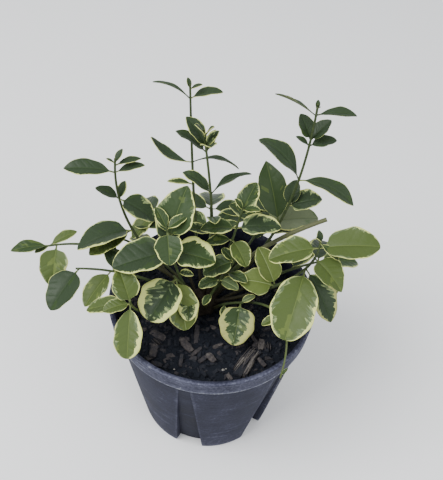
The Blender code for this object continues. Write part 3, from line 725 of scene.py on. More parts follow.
class GeometryRule:
    """A Geometry Nodes tree with named inputs, applied to a piece once."""

    def __init__(self, name: str, inputs: dict[str, tuple[str, Any]]) -> None:
        """Start a tree with a geometry input, named inputs and a geometry output.

        Args:
            name: The tree's name.
            inputs: The kind and the value of each input, by its name.
        """
        self.tree = bpy.data.node_groups.new(name, "GeometryNodeTree")
        face = self.tree.interface
        face.new_socket("Geometry", in_out="INPUT", socket_type="NodeSocketGeometry")
        self.values = inputs
        self.sockets = {}
        for label, (kind, _) in inputs.items():
            self.sockets[label] = face.new_socket(label, in_out="INPUT", socket_type=kind)
        face.new_socket("Geometry", in_out="OUTPUT", socket_type="NodeSocketGeometry")
        self.nodes = Nodes(self.tree)
        self.start = self.nodes.add("NodeGroupInput")
        self.end = self.nodes.add("NodeGroupOutput")

    def close(self, geometry: bpy.types.NodeSocket, finish: Finish) -> None:
        """End the tree in Realize Instances and Set Material.

        Args:
            geometry: What the tree has made.
            finish: The finish that it gets.
        """
        real = self.nodes.add("GeometryNodeRealizeInstances", None, {0: geometry})
        dressed = self.nodes.add("GeometryNodeSetMaterial", None, {0: real.outputs[0]})
        dressed.inputs["Material"].default_value = finish.material()
        self.nodes.feed(self.end.inputs[0], dressed.outputs[0])

    def apply(self, piece: bpy.types.Object) -> None:
        """Turn a piece into the plain mesh that the rule makes of it.

        Args:
            piece: The piece, whose mesh is replaced.
        """
        change = piece.modifiers.new("rule", "NODES")
        change.node_group = self.tree
        for label, socket in self.sockets.items():
            change[socket.identifier] = self.values[label][1]
        bpy.context.view_layer.update()
        graph = bpy.context.evaluated_depsgraph_get()
        result = bpy.data.meshes.new_from_object(piece.evaluated_get(graph))
        piece.modifiers.remove(change)
        piece.data = result


@dataclass
class Wood:
    """The woody crown on the bark, and the stems that leave it."""

    crown_at: tuple = (-8.0, 5.0)
    crown_radius: float = 12.0 * MM
    crown_height: float = 12.5 * MM
    crown_sides: int = 48
    crown_levels: int = 16
    crown_dome: float = 0.98
    crown_flare: float = 0.08
    knobs: float = 0.12
    knob_pace: float = 2.2
    knob_climb: float = 2.5
    bark_top: float = 137.0 * MM
    gap: float = 0.3 * MM
    stem_foot: float = 1.6 * MM
    stem_tip: float = 0.9 * MM
    runner_slim: float = 0.8
    cane_foot: float = 2.2 * MM
    cane_taper: float = 0.3 * MM
    stem_steps: int = 32
    stem_sides: int = 12
    stem_relief: float = 0.12 * MM
    grain_scale: float = 420.0
    woody_share: float = 0.42
    usual_age: float = 0.3

    def foot_axis(self, shoot: Shoot) -> Vector:
        """Return the way a stem leaves the crown: up, or out of its side.

        Args:
            shoot: The stem.

        Returns:
            A direction of length 1.
        """
        turn, reach, _ = shoot.foot
        return UP if reach < SIDE else around(1.0, math.radians(turn), 0.0)

    def foot_of(self, shoot: Shoot) -> Vector:
        """Return where a stem starts on the crown.

        Args:
            shoot: The stem.

        Returns:
            The point, just off the crown.
        """
        turn, reach, drop = shoot.foot
        top = self.bark_top + self.gap + self.crown_height
        on_crown = around(reach, math.radians(turn), -drop) * MM
        middle = Vector((self.crown_at[0] * MM, self.crown_at[1] * MM, top))
        return middle + on_crown + self.gap * self.foot_axis(shoot)

    def along(self, shoot: Shoot, share: float) -> Vector:
        """Return a point of a stem's curve.

        Args:
            shoot: The stem.
            share: The share of its run, from 0 at the crown to 1 at the tip.

        Returns:
            The point.
        """
        rest = 1.0 - share
        knee = Vector(shoot.knee) * MM
        tip = Vector(shoot.tip) * MM
        return rest * rest * self.foot_of(shoot) + 2.0 * share * rest * knee + share * share * tip

    def radius_of(self, shoot: Shoot, share: float) -> float:
        """Return a stem's radius.

        Args:
            shoot: The stem or the cut cane.
            share: The share of its run.

        Returns:
            The radius there.
        """
        if shoot is CANE:
            return self.cane_foot - self.cane_taper * share
        radius = self.stem_foot + (self.stem_tip - self.stem_foot) * share
        return radius * self.runner_slim if shoot.name == "runner" else radius

    def stem_lines(self) -> bpy.types.Mesh:
        """Draw each stem and the cut cane as a chain of edges.

        Returns:
            A mesh whose corners carry the radius and the age of the stem.
        """
        corners = []
        edges = []
        widths = []
        ages = []
        for shoot in (*SHOOTS, CANE):
            young = STEM_AGES.get(shoot.name, self.usual_age)
            foot = self.foot_of(shoot) - 2.0 * self.gap * self.foot_axis(shoot)
            for step in range(self.stem_steps + 1):
                share = step / self.stem_steps
                corners.append(self.along(shoot, share) if step else foot)
                widths.append(self.radius_of(shoot, share))
                ages.append(young + (1.0 - young) * max(0.0, 1.0 - share / self.woody_share))
                if step:
                    edges.append((len(corners) - 2, len(corners) - 1))
        mesh = bpy.data.meshes.new("stems")
        mesh.from_pydata(corners, edges, [])
        store(mesh, "thick", widths)
        store(mesh, "age", ages)
        return mesh

    def stem_rule(self) -> GeometryRule:
        """Make the rule that turns chains of edges into tubes with a fine grain.

        Returns:
            The rule.
        """
        rule = GeometryRule("stem_rule", {
            "Sides": ("NodeSocketInt", self.stem_sides),
            "Relief": ("NodeSocketFloat", self.stem_relief),
        })
        nodes = rule.nodes
        curve = nodes.add("GeometryNodeMeshToCurve", None, {0: rule.start.outputs["Geometry"]})
        width = nodes.named("thick")
        sized = nodes.add("GeometryNodeSetCurveRadius", None, {0: curve.outputs[0], "Radius": width})
        circle = nodes.add("GeometryNodeCurvePrimitiveCircle", None, {"Radius": 1.0})
        nodes.feed(circle.inputs["Resolution"], rule.start.outputs["Sides"])
        tube_in = {"Curve": sized.outputs[0], "Profile Curve": circle.outputs[0], "Fill Caps": True}
        tube = nodes.add("GeometryNodeCurveToMesh", None, tube_in)
        if "Scale" in tube.inputs:
            nodes.feed(tube.inputs["Scale"], width)
        grain = nodes.add("ShaderNodeTexNoise", None, {"Scale": self.grain_scale, "Detail": 2.0})
        swing = (nodes.value(grain) - 0.5) * nodes.value(rule.start, "Relief") * 2.0
        normal = nodes.add("GeometryNodeInputNormal").outputs[0]
        shift = nodes.add("ShaderNodeVectorMath", {"operation": "SCALE"}, {0: normal, "Scale": swing})
        moved_in = {0: tube.outputs[0], "Offset": shift.outputs[0]}
        moved = nodes.add("GeometryNodeSetPosition", None, moved_in)
        smooth = nodes.add("GeometryNodeSetShadeSmooth", None, {0: moved.outputs[0]})
        rule.close(smooth.outputs[0], STEM_FINISH)
        return rule

    def build_stems(self) -> None:
        """Build all stems and the cut cane as tubes along their curves."""
        piece = linked("stems", self.stem_lines())
        self.stem_rule().apply(piece)
        names = [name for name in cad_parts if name.startswith("stem_")]
        finished(piece, names + [CANE.name])

    def build_crown(self) -> None:
        """Build the woody crown as a knobbly lump."""
        sides = self.crown_sides
        middle = Vector((self.crown_at[0] * MM, self.crown_at[1] * MM, self.bark_top - self.gap))
        corners = [middle]
        for level in range(self.crown_levels + 1):
            rise = level / self.crown_levels
            dome = math.cos(math.asin(min(1.0, rise**3)) * self.crown_dome)
            for index in range(sides):
                turn = math.tau * index / sides
                out = self.crown_radius * dome * (1.0 + self.crown_flare * (1.0 - rise))
                out *= 1.0 + self.knobs * noise.noise(around(self.knob_pace, turn, rise * self.knob_climb))
                corners.append(middle + around(out, turn, self.crown_height * rise))
        corners.append(middle + Vector((0.0, 0.0, self.crown_height)))
        faces = []
        for index in range(sides):
            after = (index + 1) % sides
            faces.append((0, 1 + after, 1 + index))
            for level in range(self.crown_levels):
                here = 1 + level * sides
                faces.append((here + index, here + after, here + sides + after, here + sides + index))
            top = 1 + self.crown_levels * sides
            faces.append((top + index, top + after, len(corners) - 1))
        piece = new_piece("crown_wood", corners, faces, [CROWN_FINISH])
        store(piece.data, "age", [1.0] * len(corners))
        finished(piece, ["crown"])

    def build(self) -> None:
        """Build the crown and the stems."""
        self.build_crown()
        self.build_stems()


@dataclass
class LeafMesh:
    """The corners, faces and zones of the leaves of one mass."""

    corners: list = field(default_factory=list)
    faces: list = field(default_factory=list)
    slots: list = field(default_factory=list)

    def row(self, points: Any) -> list[int]:
        """Add a row of corners.

        Args:
            points: The place of each corner.

        Returns:
            The corners' numbers.
        """
        first = len(self.corners)
        self.corners.extend(points.tolist())
        return list(range(first, len(self.corners)))

    def face(self, corners: tuple, zone: Zone) -> None:
        """Add one face in a zone."""
        self.faces.append(corners)
        self.slots.append(int(zone))


@dataclass
class Foliage:
    """The leaves of all shoots: folded blades with veins, waves and zones of colour.

    A leaf's shares run from 0 at the stem over its stalk to 1 at the tip, and
    its places across from -1 at the left edge over 0 at the midrib to 1.
    """

    wood: Wood

    # The outline: the stalk, and the powers that shape the narrowest and the broadest blade
    stalk_share: float = 0.12
    stalk_half: float = 0.7 * MM
    stalk_rows: tuple = (0.0, 0.07)
    stalk_until: float = 0.2
    rows: int = 48
    last_row: float = 0.997
    steps: int = 120
    narrow: float = 0.4
    broad: float = 0.8
    narrow_powers: tuple = (0.95, 0.85)
    broad_powers: tuple = (0.42, 0.68)
    least_half: float = 0.15 * MM
    slant: float = 0.36
    slant_from: float = 0.16

    # The search for the leaf's place in its solid
    solid_rows: tuple = (0.0, 0.12, 0.20, 0.36, 0.57, 0.78, 0.92, 1.0)
    farthest: float = 0.9 * MM
    nudges: tuple = (
        (0, 0), (7, 0), (-7, 0), (0, 7), (0, -7),
        (13, 6), (-13, 6), (13, -8), (-13, -8), (0, 14),
    )

    # The relief: thickness, midrib, veins and waves, in full from a half width on
    thick: float = 0.38 * MM
    fold: float = 14.0
    cup: float = 1.25
    full_half: float = 6.0 * MM
    rib: float = 0.32 * MM
    rib_share: float = 0.10
    rib_above: float = 0.20 * MM
    rib_below: float = 0.35 * MM
    veins: int = 6
    veins_apart: float = 0.25
    vein_depth: float = 0.12 * MM
    vein_width: float = 0.10
    vein_fade: float = 4.0
    swell: float = 0.16 * MM
    ripple: float = 0.022
    ripple_pace: float = 11.0
    ripples_apart: float = 1.4
    waver: float = 0.035
    waver_pace: float = 19.0

    # The borders of the edge and the band, and the levels of the noise that change a zone
    edge_at_foot: float = 0.55
    edge_gain: float = 0.75
    edge_lobes: float = 1.3
    edge_teeth: float = 0.8
    most_ragged: float = 0.15
    least_edge: float = 0.015
    most_edge: float = 0.80
    rimmed_from: float = 0.05
    band_share: float = 0.9
    band_drift: float = 3.2
    band_teeth: float = 1.6
    least_band: float = 0.004
    least_green: float = 0.05
    pale_band_from: float = 0.12
    streak_from: float = 0.42
    pale_streak_from: float = 0.55
    patch_from: float = 0.42
    noise_span: float = 50.0
    draw: Random = field(default_factory=lambda: Random(23))

    def blade_half(self, share: float, leaf: Leaf) -> float:
        """Return the blade's half width as a part of its widest.

        Args:
            share: The place along the leaf.
            leaf: The leaf, whose width and point shape the outline.

        Returns:
            A number from 0 to 1.
        """
        blade = (share - self.stalk_share) / (1.0 - self.stalk_share)
        if blade <= 0.0 or blade >= 1.0:
            return 0.0
        broad = min(1.0, max(0.0, (leaf.width - self.narrow) / (self.broad - self.narrow)))
        powers = zip(self.narrow_powers, self.broad_powers)
        base, tip = (slim + (full - slim) * broad for slim, full in powers)
        tip *= leaf.point
        widest = base / (base + tip)
        top = widest**base * (1.0 - widest) ** tip
        return blade**base * (1.0 - blade) ** tip / top

    def frames(self, root: Vector, leaf: Leaf, shares: list[float]) -> list[tuple]:
        """Work out a leaf's midrib.

        Args:
            root: The point that the leaf grows from.
            leaf: The leaf's direction and sizes.
            shares: The places along the leaf.

        Returns:
            For each place: the midrib's point, the way across, the way above, and
            the half width of the leaf there.
        """
        heading = math.radians(leaf.heading)
        bank = math.radians(leaf.bank)
        droop = math.radians(leaf.droop)
        lift = math.radians(leaf.rise) + droop / 2.0
        length = leaf.length * MM
        out = around(1.0, heading, 0.0)
        side = out.cross(UP)
        widest = leaf.width * length * (1.0 - self.stalk_share) / 2.0
        spine = root.copy()
        before = 0.0
        found = []
        for share in shares:
            angle = lift - droop * (share + before) / 2.0
            spine = spine + (math.cos(angle) * out + math.sin(angle) * UP) * (share - before) * length
            before = share
            angle = lift - droop * share
            normal = math.cos(angle) * UP - math.sin(angle) * out
            across = math.cos(bank) * side + math.sin(bank) * normal
            above = math.cos(bank) * normal - math.sin(bank) * side
            found.append((spine, across, above, widest * self.blade_half(share, leaf)))
        return found

    def settle(self, shoot: Shoot, leaf: Leaf, solid: BVHTree) -> Leaf | None:
        """Find the small turn with which a leaf stands in its solid.

        Args:
            shoot: The stem that the leaf grows on.
            leaf: The leaf as the table gives it.
            solid: A search tree of the mass of leaves.

        Returns:
            The turned leaf, or None where the solid has no such leaf.
        """
        best = None
        nearest = self.farthest
        root = self.wood.along(shoot, leaf.at)
        fold = math.radians(self.fold)
        for turn, lift in self.nudges:
            tried = leaf._replace(heading=leaf.heading + turn, rise=leaf.rise + lift)
            far = 0.0
            for spine, across, above, half in self.frames(root, tried, list(self.solid_rows))[2:]:
                rise = math.sin(fold) * half * above
                run = math.cos(fold) * half * across
                for place in (spine, spine + rise + run, spine + rise - run):
                    far = max(far, solid.find_nearest(place)[3])
            if far < nearest:
                nearest = far
                best = tried
        return best

    def grow_leaf(self, root: Vector, leaf: Leaf, tint: Tint, mesh: LeafMesh) -> None:
        """Add one leaf to a mesh, zone by zone.

        Args:
            root: The point that the leaf grows from.
            leaf: The leaf's direction and sizes.
            tint: The leaf's colours.
            mesh: The mesh that takes the leaf.
        """
        seed = Vector((self.draw.uniform(0.0, self.noise_span), self.draw.uniform(0.0, self.noise_span), 0.0))
        blade = 1.0 - self.stalk_share
        shares = [*self.stalk_rows]
        shares += [self.stalk_share + blade * step / self.rows for step in range(self.rows)]
        shares.append(self.last_row)
        places = np.array([self.columns(share, leaf, tint, seed) for share in shares])
        points, above = self.surface(root, leaf, np.array(shares), places)
        middle = places.shape[1] // 2
        under = points - self.thick * above
        under[:, middle] -= self.rib_below * above[:, middle]
        points[:, middle] -= self.rib_above * above[:, middle]
        upper = [mesh.row(row) for row in points]
        lower = [mesh.row(row) for row in under]
        rim = tint.edge if max(tint.left, tint.right) > self.rimmed_from else tint.green
        count = places.shape[1]
        for step in range(len(shares) - 1):
            here, after = upper[step], upper[step + 1]
            below, beyond = lower[step], lower[step + 1]
            for column in range(count - 1):
                strip = column - middle if column >= middle else middle - 1 - column
                side = 1.0 if column >= middle else -1.0
                zone = self.zone_of(strip, side, shares[step] * leaf.length, tint, seed)
                if step < len(self.stalk_rows):
                    zone = Zone.STALK
                mesh.face((here[column], here[column + 1], after[column + 1], after[column]), zone)
                zone = zone if zone in (Zone.CREAM, Zone.CREAM_IN_SHADE, Zone.STALK) else Zone.UNDER
                mesh.face((below[column + 1], below[column], beyond[column], beyond[column + 1]), zone)
            mesh.face((here[0], after[0], beyond[0], below[0]), rim)
            mesh.face((here[-1], below[-1], beyond[-1], after[-1]), rim)
        for top, low in ((upper[0], lower[0]), (upper[-1][::-1], lower[-1][::-1])):
            for column in range(count - 1):
                mesh.face((top[column + 1], top[column], low[column], low[column + 1]), Zone.UNDER)

    def columns(self, share: float, leaf: Leaf, tint: Tint, seed: Vector) -> list[float]:
        """Place the columns of one row of a leaf by the borders of its colours.

        Args:
            share: The row's place along the leaf.
            leaf: The leaf's sizes.
            tint: The widths of its edge and band.
            seed: The leaf's own place in the noise.

        Returns:
            Places across the leaf, from its left edge to its right.
        """
        half = max(leaf.width * leaf.length * MM * self.blade_half(share, leaf) / 2.0, MM)
        rib = min(self.rib_share, self.rib / half)
        run = share * leaf.length
        sides = []
        for side, width in ((-1.0, tint.left), (1.0, tint.right)):
            lobe = LOBE.at(seed, run, side)
            tooth = TOOTH.at(seed, run, side)
            drift = DRIFT.at(seed, run, side)
            ragged = min(width, self.most_ragged) * (self.edge_lobes * lobe + self.edge_teeth * tooth)
            width = max(self.least_edge, width * (self.edge_at_foot + self.edge_gain * share) + ragged)
            edge = 1.0 - min(self.most_edge, width)
            spread = self.band_share + self.band_drift * drift + self.band_teeth * tooth
            band = max(self.least_band, tint.band * spread)
            inner = max(rib + self.least_green, edge - band)
            green = [rib + (inner - rib) * part / GREEN_STRIPS for part in range(GREEN_STRIPS + 1)]
            sides.append(green + [(inner + edge) / 2.0, edge, (edge + 1.0) / 2.0, 1.0])
        return [-place for place in reversed(sides[0])] + [0.0] + sides[1]

    def surface(self, root: Vector, leaf: Leaf, shares: Any, places: Any) -> tuple[Any, Any]:
        """Work out the corners of a leaf's upper face.

        Args:
            root: The point that the leaf grows from.
            leaf: The leaf's direction and sizes.
            shares: The place of each row along the midrib.
            places: The place of each corner across the leaf, row by row.

        Returns:
            The corners and the ways above them, as rows of points.
        """
        fine = [step / self.steps for step in range(self.steps + 1)]
        found = self.frames(root, leaf, fine)
        reach = np.abs(places)
        side = np.sign(places)
        ramp = np.clip((shares - self.stalk_share) / self.slant_from, 0.0, 1.0) * (1.0 - shares)
        along = np.clip(shares[:, None] + self.slant * reach * ramp[:, None], 0.0, 1.0)
        spine, across, above = (
            self.between(along, fine, [station[part] for station in found]) for part in range(3)
        )
        half = np.interp(along, fine, [station[3] for station in found])
        half = np.maximum(half, np.where(along < self.stalk_until, self.stalk_half, self.least_half))
        phase = self.draw.uniform(0.0, math.tau)
        wave = self.ripple * leaf.length * MM * self.draw.uniform(0.3, 1.0)
        wide = np.minimum(1.0, half / self.full_half)
        ripple = np.sin(along * self.ripple_pace + phase + self.ripples_apart * side)
        ripple = ripple * wave * reach**3 * wide
        beat = (shares[:, None] * self.veins + self.veins_apart * side) % 1.0
        groove = -self.vein_depth * np.exp(-(((beat - 0.5) / self.vein_width) ** 2))
        groove = groove * np.minimum(1.0, reach * self.vein_fade)
        swell = self.swell * np.abs(np.sin(math.pi * (beat - 0.5))) * np.sin(math.pi * reach)
        fold = math.radians(self.fold)
        lift = math.sin(fold) * reach**self.cup * half + ripple + (groove + swell) * wide
        waver = 1.0 + self.waver * np.sin(along * self.waver_pace + 2.0 * phase + side) * wide
        run = math.cos(fold) * places * half * waver
        return spine + run[..., None] * across + lift[..., None] * above, above

    @staticmethod
    def between(along: Any, fine: list[float], vectors: list[Vector]) -> Any:
        """Return the vectors at places between the fine steps of a midrib.

        Args:
            along: The places, row by row.
            fine: The place of each fine step.
            vectors: The vector of each fine step.

        Returns:
            Rows of vectors.
        """
        parts = [np.interp(along, fine, [vector[axis] for vector in vectors]) for axis in range(3)]
        return np.stack(parts, axis=-1)

    def zone_of(self, strip: int, side: float, run: float, tint: Tint, seed: Vector) -> Zone:
        """Return the zone of one patch of a leaf's upper face.

        Args:
            strip: The patch's strip, counted from the midrib.
            side: -1 left of the midrib, 1 right of it.
            run: How far along the leaf the patch lies, in millimetres.
            tint: The leaf's colours.
            seed: The leaf's own place in the noise.

        Returns:
            The zone.
        """
        if strip >= EDGE_STRIP:
            return tint.edge
        streak = STREAK.at(seed, run, side, strip)
        if strip >= BAND_STRIP:
            return Zone.PALE if streak > self.pale_band_from else Zone.GREY
        if strip == 0:
            return PALER.get(tint.green, Zone.PALE)
        if tint.streaks and streak > self.streak_from - tint.streaks:
            return Zone.PALE if streak > self.pale_streak_from - tint.streaks else Zone.GREY
        if PATCH.at(seed, run, side, strip) > self.patch_from:
            return PALER.get(tint.green, tint.green)
        return tint.green

    def mixed_tint(self) -> Tint:
        """Draw the colours of a leaf that the photograph doesn't show.

        Returns:
            The colours.
        """
        green = self.draw.choice((Zone.DARK, Zone.DARK, Zone.MID, Zone.BRIGHT))
        left, right = (self.draw.uniform(0.04, 0.16) for _ in range(2))
        return Tint(green, left, right, self.draw.uniform(0.02, 0.16))

    def build_mass(self, shoot: Shoot) -> None:
        """Build the leaves of one shoot.

        Args:
            shoot: The shoot.
        """
        name = "leaves_" + shoot.name
        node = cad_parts[name]
        corners = [corner.co for corner in node.data.vertices]
        solid = BVHTree.FromPolygons(corners, [tuple(face.vertices) for face in node.data.polygons])
        mesh = LeafMesh()
        tints = TINTS.get(shoot.name) or tuple(self.mixed_tint() for _ in shoot.leaves)
        for leaf, tint in zip(shoot.leaves, tints):
            settled = self.settle(shoot, leaf, solid)
            if settled is None:
                LOG.warning("no leaf in %s at %.2f, %.0f", shoot.name, leaf.at, leaf.heading)
                continue
            self.grow_leaf(self.wood.along(shoot, leaf.at), settled, tint, mesh)
        piece = new_piece("foliage_" + shoot.name, mesh.corners, mesh.faces, list(LEAF_FINISHES), mesh.slots)
        finished(piece, [name])

    def build(self) -> None:
        """Build the leaves of every shoot."""
        for shoot in SHOOTS:
            self.build_mass(shoot)


@dataclass
class ToneMesh:
    """Corners with the tone that the finish reads there, and faces."""

    corners: list = field(default_factory=list)
    faces: list = field(default_factory=list)
    tones: list = field(default_factory=list)

    def corner(self, place: Vector, tone: float) -> int:
        """Add a corner.

        Args:
            place: The corner's place.
            tone: Its tone.

        Returns:
            The corner's number.
        """
        self.corners.append(place)
        self.tones.append(tone)
        return len(self.corners) - 1

    def piece(self, name: str, finish: Finish) -> bpy.types.Object:
        """Make the mesh a piece.

        Args:
            name: The piece's name.
            finish: The piece's finish, which reads the tones.

        Returns:
            The piece.
        """
        made = new_piece(name, self.corners, self.faces, [finish])
        store(made.data, "tone", self.tones)
        return made


class Ring(NamedTuple):
    """A ring of the pot: its radius and height, 1 where the recesses cut it, and its tone."""

    radius: float
    height: float
    cut: float
    tone: float


class Spot(NamedTuple):
    """A corner of a ring: its heading in degrees, how deep the recess is there, and the wear."""

    heading: float
    depth: float = 0.0
    wear: float = 0.0


@dataclass
class Pot:
    """The nursery pot, turned finely round its axis with six drain recesses."""

    rim_radius: float = 90.0 * MM
    height: float = 155.5 * MM
    base_radius: float = 63.0 * MM
    band: float = 139.1 * MM
    band_low: float = 88.5 * MM
    wall_top: float = 85.6 * MM
    lip: float = 4.4 * MM
    lip_rise: float = 1.4 * MM
    rim_below: float = 2.2 * MM
    rim_step: float = 0.15 * MM
    band_edge: float = 2.0 * MM
    wall: float = 2.0 * MM
    foot: float = 1.5 * MM
    floor: float = 2.6 * MM
    recesses: int = 6
    first_recess: float = -101.8
    top_half: float = 4.2 * MM
    base_half: float = 12.4 * MM
    depth: float = 7.5 * MM
    recess_top: float = 136.1 * MM
    edge: float = 0.7 * MM
    foot_steps: int = 4
    wall_steps: int = 24
    band_steps: int = 6
    lip_steps: int = 6
    recess_steps: int = 8
    bay_steps: int = 24
    smooth_below: float = 35.0
    wall_tone: float = 0.44
    foot_tone: float = 0.62
    # how far below the band the painted shade reaches
    shade_run: float = 9.0 * MM
    scuff_run: float = 24.0 * MM
    band_tone: float = 0.63
    # painted shade: the dark tone inside the pot and under its floor
    painted_shade_tone: float = 0.2
    # painted shade: the darker tone of the drain recesses' faces
    recess_shade_tone: float = 0.35
    worn_edge: float = 0.12

    def wall_radius(self, height: float) -> float:
        """Return the tapering wall's outer radius at a height."""
        return self.base_radius + (self.wall_top - self.base_radius) * height / self.band

    def foot_rings(self) -> list[Ring]:
        """Return the rings of the underside and of the rounded foot.

        Returns:
            The rings, from the underside's middle.
        """
        foot = self.foot
        rings = [
            Ring(0.0, 0.0, 0.0, self.painted_shade_tone),
            Ring(40.0 * MM, 0.0, 0.0, self.painted_shade_tone),
            Ring(self.base_radius - foot, 0.0, 1.0, 0.3),
        ]
        for step in range(1, self.foot_steps + 1):
            turn = math.radians(90.0 * step / self.foot_steps)
            out = self.base_radius + foot * (1.02 * math.sin(turn) - 1.0)
            rings.append(Ring(out, foot * (1.0 - math.cos(turn)), 1.0, self.foot_tone))
        return rings

    def wall_rings(self) -> list[Ring]:
        """Return the rings of the tapering wall, scuffed at its foot, with painted shade under the band.

        Returns:
            The rings, from the foot up.
        """
        foot = self.foot
        rings = []
        for step in range(1, self.wall_steps + 1):
            height = foot + (self.band - 0.8 * MM - foot) * step / self.wall_steps
            # painted shade: the wall darkens towards the band, where the band's overhang would shade it
            shade = max(0.0, 1.0 - (self.band - height) / self.shade_run)
            scuffed = 0.12 * max(0.0, 1.0 - height / self.scuff_run)
            rings.append(Ring(self.wall_radius(height), height, 1.0, self.wall_tone + scuffed - 0.16 * shade))
        return rings

    def band_rings(self) -> list[Ring]:
        """Return the rings of the rim band.

        Returns:
            The rings, from the step under the band up to the lip.
        """
        low = self.band + self.band_edge
        high = self.height - self.rim_below
        outer = self.rim_radius - self.rim_step
        rings = [
            # painted shadow: the step under the band is painted near black
            Ring(self.wall_top + 0.5 * MM, self.band - 0.1 * MM, 0.0, 0.05),
            Ring(self.band_low - 0.5 * MM, self.band, 0.0, 0.15),
            Ring(self.band_low - 0.1 * MM, self.band + 0.3 * MM, 0.0, 0.82),
            Ring(self.band_low, self.band + 0.8 * MM, 0.0, 0.84),
            Ring(self.band_low + 0.1 * MM, low, 0.0, self.band_tone),
        ]
        for step in range(1, self.band_steps):
            part = step / self.band_steps
            out = self.band_low + (outer - self.band_low) * part
            tone = self.band_tone - 0.05 * math.sin(math.pi * part)
            rings.append(Ring(out, low + (high - low) * part, 0.0, tone))
        rings.append(Ring(outer, high, 0.0, self.band_tone + 0.05))
        return rings

    def lip_rings(self) -> list[Ring]:
        """Return the rings over the lip and inside the pot.

        Returns:
            The rings, from the lip down the inner wall to the floor's middle.
        """
        rings = []
        for step in range(self.lip_steps + 1):
            turn = math.pi * step / self.lip_steps
            out = self.rim_radius - self.lip / 2.0 * (1.0 - math.cos(turn))
            height = self.height - self.lip_rise * (1.0 - math.sin(turn))
            # the lip is paler on its outer shoulder and darker over its crown and down its inner side
            lip_shift = 0.04 if step in (1, 2) else -0.10
            rings.append(Ring(out, height, 0.0, self.band_tone + lip_shift))
        # inside the pot: painted shade down the inner wall and over the floor
        rings.append(Ring(self.wall_top - self.wall, self.band, 0.0, self.painted_shade_tone))
        rings.append(Ring(self.wall_radius(3.0 * MM) - self.wall, self.floor, 1.0, self.painted_shade_tone))
        rings.append(Ring(0.0, self.floor, 0.0, self.painted_shade_tone))
        return rings

    def spots(self, height: float) -> list[Spot]:
        """Place the corners of one ring, closer together at each recess.

        Args:
            height: The ring's height.

        Returns:
            The corners in order round the pot.
        """
        fall = max(0.0, 1.0 - height / self.recess_top)
        half = self.top_half + (self.base_half - self.top_half) * min(1.0, 1.0 - height / self.band)
        radius = self.wall_radius(height)
        depth = self.depth * fall
        turn = math.degrees(half / radius)
        step_in = math.degrees(self.edge / radius)
        ring = []
        bay = 360.0 / self.recesses
        for recess in range(self.recesses):
            middle = self.first_recess + bay * recess
            ring.append(Spot(middle - turn - step_in, wear=self.worn_edge))
            for index in range(self.recess_steps + 1):
                ring.append(Spot(middle - turn + 2.0 * turn * index / self.recess_steps, depth))
            ring.append(Spot(middle + turn + step_in, wear=self.worn_edge))
            start = middle + turn + step_in
            end = middle + bay - turn - step_in
            for index in range(1, self.bay_steps):
                ring.append(Spot(start + (end - start) * index / self.bay_steps))
        return ring

    def turned(self) -> tuple[ToneMesh, list[list[int]]]:
        """Turn the outline round the axis, with the recesses cut in.

        Returns:
            A mesh of corners, and the numbers of each ring's corners.
        """
        mesh = ToneMesh()
        rings = []
        for ring in self.foot_rings() + self.wall_rings() + self.band_rings() + self.lip_rings():
            numbers = []
            spots = self.spots(min(ring.height, self.band)) if ring.radius > 0.0 else [Spot(0.0)]
            for spot in spots:
                depth = spot.depth * ring.cut
                # the recess faces take the painted shade tone, and their rims take the paler worn tone
                tone = min(ring.tone, self.recess_shade_tone) if depth > 0.0 else ring.tone + spot.wear * ring.cut
                place = around(ring.radius - depth, math.radians(spot.heading), ring.height)
                numbers.append(mesh.corner(place, tone))
            rings.append(numbers)
        return mesh, rings

    def build(self) -> None:
        """Build the pot."""
        mesh, rings = self.turned()
        for lower, upper in zip(rings, rings[1:]):
            count = max(len(lower), len(upper))
            for index in range(count):
                after = (index + 1) % count
                if len(lower) == 1:
                    mesh.faces.append((lower[0], upper[after], upper[index]))
                elif len(upper) == 1:
                    mesh.faces.append((lower[index], lower[after], upper[0]))
                else:
                    mesh.faces.append((lower[index], lower[after], upper[after], upper[index]))
        piece = mesh.piece("nursery_pot", POT_FINISH)
        piece.data.set_sharp_from_angle(angle=math.radians(self.smooth_below))
        finished(piece, ["pot"])


class Splinters(NamedTuple):
    """A frayed bit of bark: where it lies, its heading, sizes, count of fibres and tone."""

    place: tuple
    heading: float
    length: float
    width: float
    count: int
    tone: float
    coarse: float = 1.0


class Slab(NamedTuple):
    """A chunky chip of bark: where it lies, its heading, length, width and tone."""

    place: tuple
    heading: float
    length: float
    width: float
    tone: float


class ChipSize(NamedTuple):
    """A size of strewn chips, in millimetres, with its range of tones.

    The warp is how far a chip's corners are shifted, and farther is how much
    farther out such chips lie than the coarse ones.
    """

    spacing_name: str
    spacing: float
    least: tuple
    most: tuple
    tones: tuple
    warp: float
    farther: float


